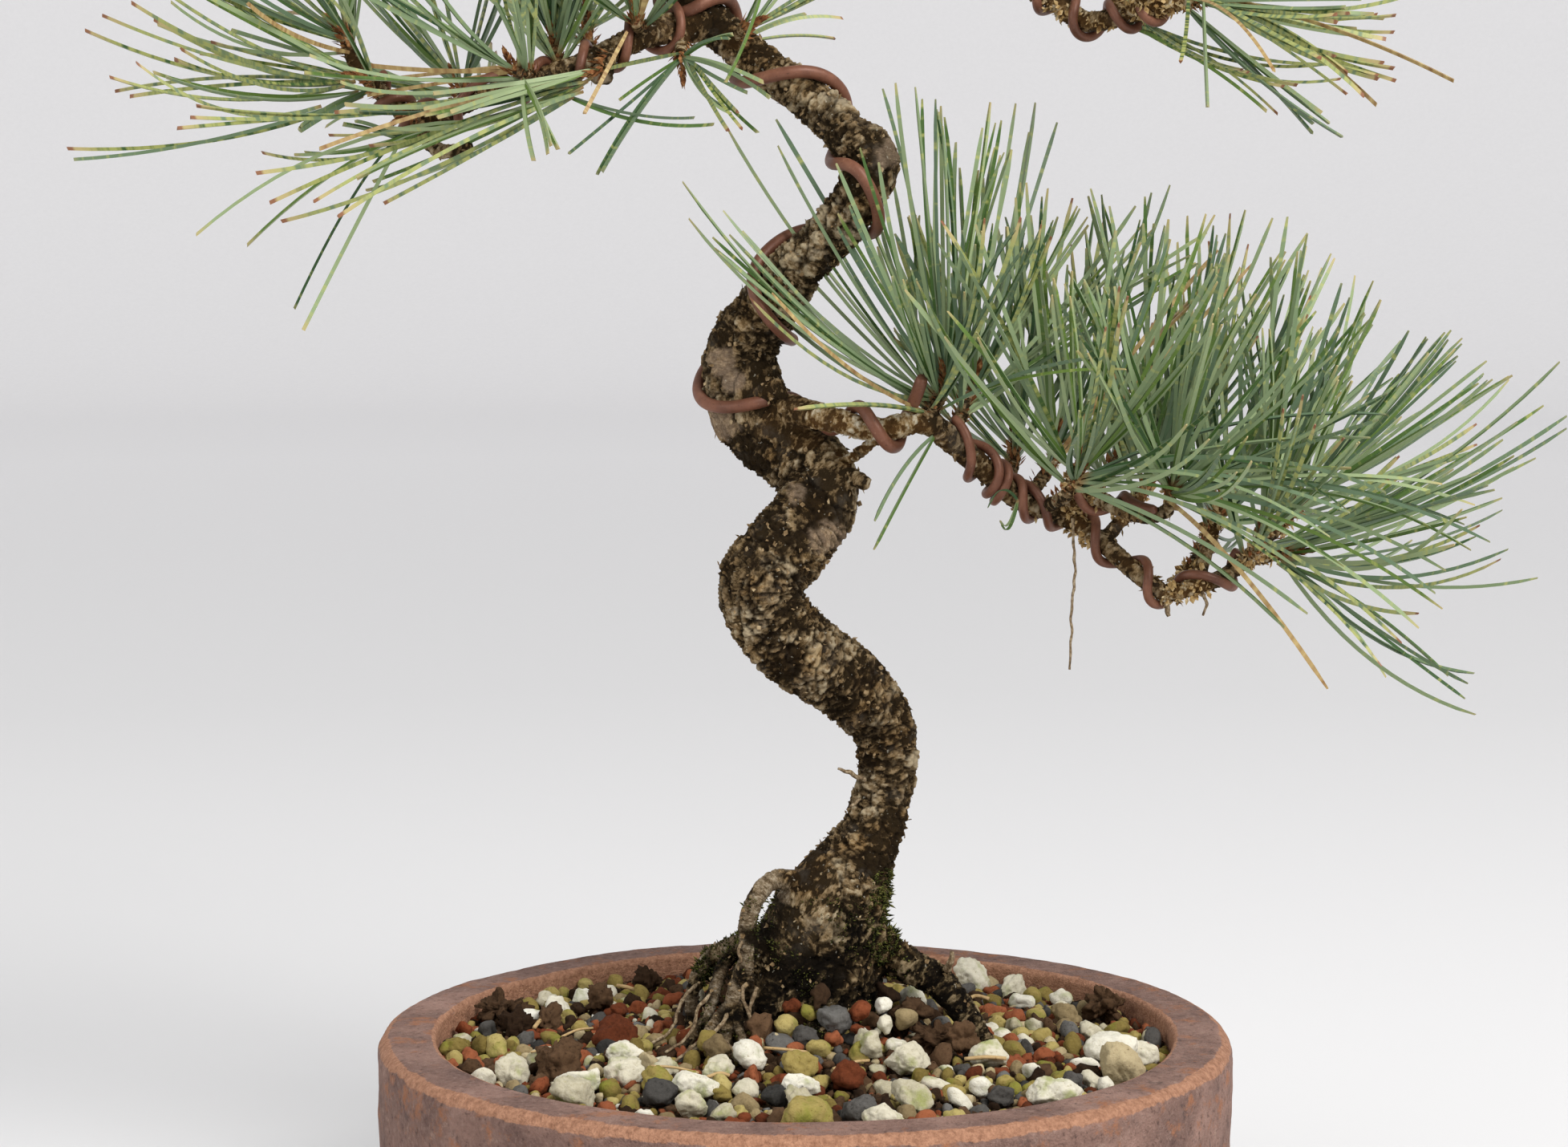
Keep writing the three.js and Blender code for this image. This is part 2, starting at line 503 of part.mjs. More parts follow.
function soilHeight(x, y) {
  const reach = Math.hypot(x, y);
  const slope = THREE.MathUtils.smoothstep(reach, LEVEL_RADIUS, POT_INSIDE);
  const fall = THREE.MathUtils.smoothstep(reach, MOUND_TOP_RADIUS, MOUND_FOOT_RADIUS);
  return THREE.MathUtils.lerp(SOIL_LEVEL, SOIL_EDGE, slope) + MOUND_RISE * (1 - fall);
}

function soilSolid(wood, tieWire, sunkenPieces) {
  const side = POT_INSIDE - GAP;
  const profile = [
    [0, POT_FLOOR + GAP],
    ...quarterRound(side - 8, POT_FLOOR + GAP + 8, 8, -90, 0),
    [side, SOIL_EDGE],
    ...SOIL_RINGS.map((radius) => [radius, soilHeight(radius, 0)]),
    [0, soilHeight(0, 0)],
  ];
  const roomSide = SCREEN_SIZE + 2 * GAP;
  const roomHeight = 2 * (SCREEN_THICKNESS + 2 * GAP);
  let soil = turned(profile, SOIL_SEGMENTS).subtract(wood).subtract(tieWire);
  for (let index = 0; index < DRAIN_COUNT; index += 1) {
    const room = new THREE.BoxGeometry(roomSide, roomSide, roomHeight);
    soil = soil.subtract(solidFrom(placedOverDrain(room, index, POT_FLOOR)));
  }
  return largestPart(sunkenPieces.reduce((rest, piece) => rest.subtract(piece), soil));
}

// ---------------------------------------------------------------- stones, humus and moss
// The larger lumps on the soil: name, x, y, half sizes, material.
const LUMPS = [
  ['pumice_01', -22, -45, [5, 3.6, 3.2], PUMICE],
  ['pumice_02', -1, -47, [4.2, 3.2, 3], PUMICE],
  ['pumice_03', 21, -28, [5.2, 4.4, 4], PUMICE],
  ['pumice_04', 15, -66, [4.2, 3.4, 3], PUMICE],
  ['pumice_05', 38, -20, [4.4, 3.6, 3], PUMICE],
  ['pumice_06', 50, -47, [6, 4, 3.4], PUMICE],
  ['pumice_07', 64, -13, [6, 5, 4.2], PUMICE],
  ['pumice_08', -37, -20, [4.6, 3.4, 3], PUMICE],
  ['pumice_09', -46, -38, [5, 3.4, 2.8], PUMICE],
  ['humus_01', -65, 24, [7, 5, 4.4], HUMUS],
  ['humus_02', 28, -12, [7.5, 5.5, 4], HUMUS],
  ['humus_03', 66, 27, [5, 4, 5], HUMUS],
];

/** A rounded, uneven lump: each corner of a ball is drawn in by a wave of its direction. */
function lumpSolid(halfSizes, centre, phase, grow = 0) {
  const geometry = new THREE.IcosahedronGeometry(1, 1);
  const corners = geometry.attributes.position;
  const corner = new THREE.Vector3();
  for (let index = 0; index < corners.count; index += 1) {
    corner.fromBufferAttribute(corners, index);
    const ripple = Math.sin(3.1 * corner.x + phase) * Math.cos(2.7 * corner.y - phase);
    const wave = ripple * Math.sin(2.3 * corner.z + phase);
    corner.multiplyScalar(1 - 0.14 * Math.abs(wave));
    corner.multiply(at(...halfSizes).addScalar(grow)).add(at(...centre));
    corners.setXYZ(index, corner.x, corner.y, corner.z);
  }
  return solidFrom(geometry);
}

const MOSSES = [
  ['moss_trunk', [14.5, -4, 87], [6.5, 9, 12]],
  ['moss_root', [-20, 4.5, 73.5], [4.5, 4.5, 4.5]],
];

// ---------------------------------------------------------------- needle tufts
/** Headings spread evenly over a cone round the tuft's own heading. */
function spikeHeading(axis, halfAngle, index, count) {
  const first = squareTo(Math.abs(axis.z) < 0.9 ? UP : RIGHT, axis);
  const second = new THREE.Vector3().crossVectors(axis, first);
  const tilt = THREE.MathUtils.degToRad(halfAngle) * Math.sqrt((index + 0.5) / count);
  const turn = index * Math.PI * (3 - Math.sqrt(5));
  const heading = axis.clone().multiplyScalar(Math.cos(tilt));
  heading.addScaledVector(first, Math.sin(tilt) * Math.cos(turn));
  return heading.addScaledVector(second, Math.sin(tilt) * Math.sin(turn));
}

/** Whether a spike's middle line stays clear of other tufts' spikes and cores. */
function isClear(line, spikes, cores) {
  const nearest = new THREE.Vector3();
  const sample = new THREE.Vector3();
  const toSpike = (other) => other.closestPointToPoint(sample, true, nearest).distanceTo(sample);
  const toCore = (core) => core.distanceTo(sample) - CORE_RADIUS;
  for (let step = 0; step <= 20; step += 1) {
    line.at(step / 20, sample);
    if (spikes.some((other) => toSpike(other) < SPIKE_CLEARANCE)) {
      return false;
    }
    if (cores.some((core) => toCore(core) < SPIKE_CLEARANCE)) {
      return false;
    }
  }
  return true;
}

function coreOf([, twig, heading]) {
  const end = at(...twig.at(-1).slice(0, 3));
  return end.addScaledVector(at(...heading).normalize(), CORE_RADIUS / 2);
}

/** The spikes of a tuft that stay clear of the tufts made before it. */
function clearSpikes(shoot, taken, otherCores) {
  const [, , heading, halfAngle, count] = shoot;
  const core = coreOf(shoot);
  const axis = at(...heading).normalize();
  const own = [];
  for (let index = 0; index < count; index += 1) {
    const end = core.clone().addScaledVector(spikeHeading(axis, halfAngle, index, count), NEEDLE_LENGTH);
    const line = new THREE.Line3(core, end);
    if (isClear(line, taken, otherCores)) {
      own.push(line);
    }
  }
  return own;
}

/** One tuft: a faceted core that caps the shoot's end, with a facet drawn out to each spike's tip. */
function tuftSolid(core, spikes) {
  const ball = new THREE.IcosahedronGeometry(CORE_RADIUS, 1).translate(core.x, core.y, core.z);
  const corners = ball.attributes.position;
  const facets = [];
  for (let index = 0; index < corners.count; index += 3) {
    const facet = [0, 1, 2].map((corner) => at(0, 0, 0).fromBufferAttribute(corners, index + corner));
    const middle = new THREE.Triangle(...facet).getMidpoint(at(0, 0, 0));
    facets.push({ facet, middle, tip: null });
  }
  for (const { end } of spikes) {
    const free = facets.filter(({ tip }) => tip === null);
    const nearer = (one, other) => (other.middle.distanceTo(end) < one.middle.distanceTo(end) ? other : one);
    free.reduce(nearer).tip = end;
  }
  const trianglesOf = ({ facet: [a, b, c], tip }) => (
    tip === null ? [a, b, c] : [a, b, tip, b, c, tip, c, a, tip]
  );
  return solidFrom(new THREE.BufferGeometry().setFromPoints(facets.flatMap(trianglesOf)));
}

// ---------------------------------------------------------------- assembly
const wires = Object.entries(WIRES);
const grownWires = joined(wires.map(([, [route, radius]]) => wireSolid(route, radius, { grow: GAP })));
const grownWood = woodSolid(GAP);
const tieWire = wireSolid(tieWireRoute(), TIE_WIRE_RADIUS, { steps: TIE_WIRE_STEPS });
const grownTieWire = wireSolid(tieWireRoute(), TIE_WIRE_RADIUS, { grow: GAP, steps: TIE_WIRE_STEPS });

addPiece('pot', potSolid(), STONEWARE);
for (let index = 0; index < DRAIN_COUNT; index += 1) {
  addPiece(`drain_screen_${index + 1}`, screenSolid(index), PLASTIC);
}
addPiece('tie_wire', tieWire, COPPER);

const sunken = [];
LUMPS.forEach(([name, x, y, halfSizes, material], index) => {
  const centre = [x, y, soilHeight(x, y) + halfSizes[2] * 0.3];
  addPiece(name, largestPart(lumpSolid(halfSizes, centre, index).subtract(grownWood)), material);
  sunken.push(lumpSolid(halfSizes, centre, index, GAP));
});
addPiece('soil', soilSolid(grownWood, grownTieWire, sunken), SOIL);

const wood = woodSolid(0).subtract(grownWires).subtract(grownTieWire);
addPiece('tree', largestPart(wood), BARK);
for (const [name, [route, radius]] of wires) {
  addPiece(name, wireSolid(route, radius), COPPER);
}
for (const [name, centre, halfSizes] of MOSSES) {
  addPiece(name, largestPart(lumpSolid(halfSizes, centre, 1).subtract(grownWood)), MOSS);
}

const takenSpikes = [];
for (const shoot of SHOOTS) {
  const otherCores = SHOOTS.filter((other) => other !== shoot).map(coreOf);
  const spikes = clearSpikes(shoot, takenSpikes, otherCores);
  takenSpikes.push(...spikes);
  const tuft = tuftSolid(coreOf(shoot), spikes).subtract(grownWood).subtract(grownWires);
  addPiece(`needles_${shoot[0]}`, largestPart(tuft), NEEDLES);
}

export default bonsai;
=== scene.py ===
"""Looks of the potted bonsai pine, built round its CAD frame.

Tables of places are in millimetres, as in the CAD; every mesh is made in metres, +Z up.
"""
import math
import random

import bmesh
import bpy
import numpy as np
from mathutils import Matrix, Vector, noise
from mathutils.kdtree import KDTree


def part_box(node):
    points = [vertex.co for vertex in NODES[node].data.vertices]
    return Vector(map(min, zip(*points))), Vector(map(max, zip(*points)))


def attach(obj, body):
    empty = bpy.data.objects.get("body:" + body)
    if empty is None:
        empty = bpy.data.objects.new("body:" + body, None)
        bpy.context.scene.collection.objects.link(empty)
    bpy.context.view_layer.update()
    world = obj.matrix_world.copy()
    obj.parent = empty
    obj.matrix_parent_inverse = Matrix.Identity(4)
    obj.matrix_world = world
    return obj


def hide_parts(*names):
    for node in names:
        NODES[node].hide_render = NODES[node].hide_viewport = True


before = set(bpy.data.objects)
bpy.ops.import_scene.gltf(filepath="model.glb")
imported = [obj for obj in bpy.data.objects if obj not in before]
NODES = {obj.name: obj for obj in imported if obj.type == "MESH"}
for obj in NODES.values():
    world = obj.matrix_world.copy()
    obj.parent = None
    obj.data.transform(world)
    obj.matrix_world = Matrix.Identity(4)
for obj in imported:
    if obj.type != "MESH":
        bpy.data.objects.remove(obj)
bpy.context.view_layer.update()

MM = 0.001

# ------------------------------------------------------------------ driving dimensions (mm)
POT_CORNER = np.array(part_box("pot")[1]) / MM
POT_RADIUS = POT_CORNER[0]
POT_HEIGHT = POT_CORNER[2]
RIM_WIDTH = 12.3
POT_INSIDE = POT_RADIUS - RIM_WIDTH
POT_FLOOR = 8.0
RIM_ROUND = 3.5
INNER_RIM_ROUND = 1.5
FOOT_ROUND = 9.0
FLOOR_ROUND = 8.0
DRAIN_RADIUS = 7.5
DRAIN_CIRCLE = 42.0
DRAIN_COUNT = 3
GROOVE_DEPTH = 3.0
GROOVE_WIDTH = 11.0
TIE_HOLE_RADIUS = 2.6
TIE_HALF_SPAN = 16.0
TIE_OFFSET = -14.0

SOIL_EDGE = 58.5
SOIL_LEVEL = 61.0
LEVEL_RADIUS = 24.0
MOUND_RISE = 6.0
MOUND_TOP_RADIUS = 8.0
MOUND_FOOT_RADIUS = 36.0
FINE_SOIL_DROP = 2.2  # from the level of the grains to the fine soil between them

TRUNK_WIRE_RADIUS = 1.35
BRANCH_WIRE_RADIUS = 1.0
WIRE_STAND = 0.25  # from the bark to a wound wire

NEEDLE_LENGTH = 66.0
NEEDLE_WIDTH = 0.98

# ------------------------------------------------------------------ camera
CAMERA_DISTANCE = 850.0
CAMERA_HEIGHT = 261.6
CAMERA_SIDE = -4.3
CAMERA_PITCH = 6.885  # degrees below the horizon
CAMERA_LENS = 94.08
CAMERA_SENSOR = 36.0


def make_camera():
    data = bpy.data.cameras.new("camera")
    data.sensor_fit = "HORIZONTAL"
    data.sensor_width = CAMERA_SENSOR
    data.lens = CAMERA_LENS
    data.clip_start = 0.01
    camera = bpy.data.objects.new("camera", data)
    bpy.context.scene.collection.objects.link(camera)
    camera.location = Vector((CAMERA_SIDE, -CAMERA_DISTANCE, CAMERA_HEIGHT)) * MM
    camera.rotation_euler = (math.radians(90.0 - CAMERA_PITCH), 0.0, 0.0)
    bpy.context.scene.camera = camera


# ------------------------------------------------------------------ the tree's plan (mm)
# Each limb is a list of stations [x, y, z, radius], as in the CAD.
TRUNK = [
    [-3, 2, 44, 11], [-2, 2, 57, 14.5], [0, 1, 68, 15.5], [3, 0, 78, 14.5], [6, -1, 88, 12],
    [10, 0, 96.5, 9], [14, 1, 104, 7], [17, 3, 115, 6.3], [16.5, 2, 126, 7.2], [10, -1, 135, 8.2],
    [0, -5, 143, 8.8], [-7.5, -8, 151, 9], [-9, -9, 158, 9], [-3, -7, 166, 9], [2, -3, 172.5, 8.5],
    [2.5, 1, 179, 8.4], [-3, 5, 184.5, 8.7], [-10, 8, 191, 9], [-13, 9, 198, 8.7], [-13, 8, 206, 7.8],
    [-8, 5, 213.5, 6.8], [-0.5, 0, 224, 5.8], [6.5, -4, 231, 5.6], [11, -6, 237.5, 5.8], [13.5, -6, 244.5, 6],
    [8, -3, 251, 5], [1.5, 1, 257, 4.8], [-7, 4, 263, 4.6], [-13.5, 6, 268, 4.6], [-20, 8, 274, 4.6],
    [-25, 8, 279, 4.5], [-26, 7, 288, 4.2], [-18, 4, 299, 3.9], [-7, 0, 309, 3.5], [-3, -4, 320, 3],
    [-8, -6, 331, 2.4], [-12, -6, 342, 1.8],
]

RIGHT_BRANCH = [
    [-8, 6, 193, 4], [-1, -2, 193, 3.2], [7, -8, 191.5, 2.7], [16, -10, 190, 2.6], [24.5, -8, 191.5, 2.7],
    [30, -5, 187.5, 2.8], [38.5, -2, 180, 2.6], [44, 0, 175, 2.4], [54, 2, 171, 2.3], [62, 0, 165.5, 2.1],
    [71, -4, 158, 2], [75.5, -6, 155.5, 1.9], [81, -6, 157, 1.9], [87, -3, 158.5, 1.8], [92, 0, 161.5, 1.7],
    [98, 2, 162.5, 1.6],
]

MIDDLE_TWIG = [
    [53, 2, 171, 2], [58, -4, 176, 1.9], [64, -9, 174, 1.9], [69.5, -14, 172.5, 1.7], [74, -17, 174, 1.5],
    [74.5, -20, 179, 1.3],
]

LEFT_BRANCH = [
    [-20, 7, 273, 4], [-27, 3, 272, 3.4], [-33, -2, 270.5, 3], [-41, -6, 266.5, 2.6], [-49.5, -9, 263, 2.4],
    [-59, -8, 260, 2.3], [-67.5, -5, 257.5, 2.2], [-74.5, -2, 254.5, 2.1], [-81, 0, 253.5, 2.1],
    [-85.5, 2, 257, 2], [-89.5, 4, 260.5, 1.8], [-93, 4, 265, 1.7], [-95, 4, 270, 1.5],
]

UPPER_BRANCH = [
    [-20, 4, 297, 3.2], [-10, 9, 303, 3], [6, 14, 302, 2.8], [22, 14, 294, 2.6], [38, 13, 285, 2.5],
    [50, 10, 279, 2.4], [58, 8, 273.5, 2.3], [66, 4, 274.5, 2.1], [72, 0, 276, 1.9], [79, -4, 277.5, 1.6],
]

ROOTS = [
    [[5, -3, 91, 3], [-2, -5, 94.5, 2.6], [-7, -7, 95, 2.1], [-10.5, -9, 91, 2], [-12, -10, 86, 2],
     [-11.5, -11, 81, 1.9], [-13.5, -12, 75, 1.9], [-15.5, -14, 68, 1.9], [-17, -14, 57, 1.5]],
    [[-14, -13, 72, 1.3], [-13.5, -16, 66, 1.1], [-11, -18, 56, 0.9]],
    [[-15, -13, 71, 1.4], [-19, -15, 66.5, 1.2], [-25, -18, 57, 0.9]],
    [[-3, -4, 86, 3], [-9, -2, 81, 2.6], [-15, 2, 79, 2.5], [-20.5, 4, 75.5, 2.1], [-23.5, 2, 70, 1.6],
     [-24, 0, 57, 1.2]],
    [[-9, -5, 82, 2], [-16, -5, 78, 1.7], [-18.5, -8, 73, 1.5], [-20, -10, 68, 1.3], [-28, -12, 57, 1]],
    [[-8, -7, 82, 1.8], [-13, -8, 77, 1.5], [-15, -9, 72, 1.3], [-18, -11, 57, 1.1]],
    [[8, 0, 84, 6], [15, -1, 80, 5], [22, -3, 76, 4], [28, -4, 73, 3.6], [34, -6, 66, 3], [41, -8, 55, 2.2]],
    [[2, 6, 76, 7], [6, 17, 69, 5], [10, 30, 56, 3]],
    [[-4, 6, 74, 6], [-16, 16, 66, 4], [-27, 24, 55, 2.4]],
    [[0, -6, 70, 6], [4, -15, 63, 4], [7, -23, 54, 2.2]],
]

STUBS = [
    [[4, -2, 181, 1.7], [9, -3, 183, 1.4], [14, -6, 187, 1.3], [18.5, -10, 190.5, 1.2]],
    [[7, -4, 181, 2.2], [13, -8, 178.5, 1.6]],
    [[-11, 3, 195, 3.2], [-5, -2, 198, 2.2]],
    [[10, -6, 244, 5.5], [16.5, -7, 242, 4]],
    [[-41, -6, 266.5, 2.6], [-41.5, -10, 261.5, 2.5]],
    [[-80, -1, 253.5, 1.9], [-75, -6, 247, 1.7], [-68, -8, 247.5, 1.4]],
]

# name, twig stations, the tuft's heading, its half-angle in degrees, its number of scattered fascicles
SHOOTS = [
    ["right_01", [[24, -8, 191, 1.8], [27, -8, 195, 1.6], [29, -8, 199, 1.4]], (-0.2, -0.2, 0.95), 46, 9],
    ["right_02", [[30, -5, 188, 1.8], [33, 0, 193, 1.6], [35.5, 5, 197, 1.4]], (0.2, 0.15, 0.97), 50, 12],
    ["right_03", [[40, -1, 178.5, 1.7], [44, 13, 180, 1.5], [45, 24, 184, 1.3]], (-0.1, 0.6, 0.8), 50, 10],
    ["right_04", [[46, 0, 174.5, 1.7], [51, 6, 180, 1.5], [53.5, 10, 185, 1.3]], (0.1, 0.1, 1), 40, 11],
    ["right_05", [[50, 1, 172.5, 1.7], [54, -12, 177, 1.5], [56, -20, 183, 1.3]], (0, -0.55, 0.85), 48, 10],
    ["right_06", [[56, 2, 170, 1.7], [62, 16, 175, 1.5], [68, 28, 181, 1.3]], (0.1, 0.6, 0.8), 48, 11],
    ["right_07", [[74, -19, 177, 1.4], [74.5, -20, 179, 1.3]], (0.2, -0.45, 0.87), 50, 12],
    ["right_08", [[62, 0, 165.5, 1.7], [70, 5, 174, 1.5], [74, 8, 181, 1.3]], (0.2, 0.1, 0.97), 42, 11],
    ["right_09", [[76, -6, 156, 1.6], [84, 12, 162, 1.5], [89, 30, 169, 1.3]], (0.35, 0.65, 0.68), 50, 11],
    ["right_10", [[90, -1, 160, 1.6], [94, -6, 165, 1.5], [95, -8, 170.5, 1.3]], (0.35, -0.35, 0.88), 48, 12],
    ["right_11", [[97, 2, 162.5, 1.6], [101, 3, 163, 1.4]], (0.96, -0.1, 0.1), 44, 2],
    ["right_12", [[88, -3, 159, 1.6], [100, 12, 167, 1.5], [107, 19, 173, 1.3]], (0.65, 0.35, 0.68), 48, 12],
    ["right_13", [[81, -6, 157, 1.6], [86, 5, 168, 1.5], [89.5, 11, 177, 1.3]], (0.25, 0.2, 0.95), 40, 12],
    ["left_01", [[-93, 4, 265, 1.6], [-95, 4, 271, 1.4]], (-0.75, 0.05, 0.66), 55, 3],
    ["left_02", [[-87, 2, 258, 1.6], [-88.5, -8, 262, 1.3]], (-0.9, -0.4, 0.1), 45, 1],
    ["left_03", [[-80, 0, 253.5, 1.6], [-80, -10, 256, 1.3]], (-0.6, -0.5, -0.55), 55, 1],
    ["left_04", [[-69, -4, 257, 1.6], [-71, 8, 258, 1.5], [-72, 16, 260, 1.3]], (-0.4, 0.7, 0.6), 50, 7],
    ["left_05", [[-39, -5, 267, 1.6], [-41, -14, 263.5, 1.3]], (-0.93, -0.25, -0.25), 26, 2],
    ["left_06", [[-54, -9, 261.5, 1.6], [-58, -22, 263, 1.3]], (-0.35, -0.6, 0.7), 48, 6],
    ["left_07", [[-50, -9, 263, 1.6], [-51, -4, 266, 1.5], [-52, 0, 270, 1.3]], (-0.15, 0.1, 0.98), 46, 12],
    ["left_08", [[-42, -6, 266, 1.6], [-45, 6, 269, 1.5], [-45.5, 14, 274, 1.3]], (-0.1, 0.6, 0.8), 48, 10],
    ["left_09", [[-33, -2, 270.5, 1.6], [-34.5, -10, 273, 1.3]], (-0.1, -0.5, 0.85), 50, 6],
    ["left_10", [[-25, 3, 271, 1.6], [-25.5, -5, 266.5, 1.3]], (0.1, -0.3, -0.95), 68, 1],
    ["left_11", [[-15, 6, 269, 1.5], [-12.5, -3, 272, 1.3]], (0.85, -0.2, 0.4), 40, 1],
    ["upper_01", [[76, -2, 277, 1.5], [81, -5, 278, 1.3]], (0.97, -0.1, -0.2), 42, 4],
    ["upper_02", [[64, 5, 274.5, 1.6], [67, 12, 281.5, 1.3]], (0.3, 0.6, 0.75), 48, 9],
    ["upper_03", [[70, 1, 275.5, 1.6], [80, 8, 281, 1.5], [86, 11, 285, 1.3]], (0.75, 0.4, 0.5), 46, 9],
    ["upper_04", [[67, 3, 275, 1.6], [71, -9, 281, 1.5], [72, -16, 287, 1.3]], (0.2, -0.6, 0.78), 48, 7],
    ["apex_01", [[-12, -6, 341, 1.8], [-12, -6, 346, 1.4]], (0, 0, 1), 50, 14],
    ["apex_02", [[-4, -5, 323, 1.8], [5, -1, 327, 1.6], [12, 2, 333, 1.3]], (0.75, 0.2, 0.6), 48, 12],
    ["apex_03", [[-6, -5, 327, 1.8], [-17, -3, 329, 1.6], [-26, -1, 333, 1.3]], (-0.75, 0.1, 0.6), 48, 12],
    ["apex_04", [[-4, -4, 321, 1.8], [-6, 9, 324, 1.6], [-7, 18, 329, 1.3]], (0, 0.8, 0.6), 48, 12],
    ["apex_05", [[-7, -6, 329, 1.8], [-9, -16, 331, 1.6], [-10, -23, 335, 1.3]], (0, -0.8, 0.6), 48, 12],
]


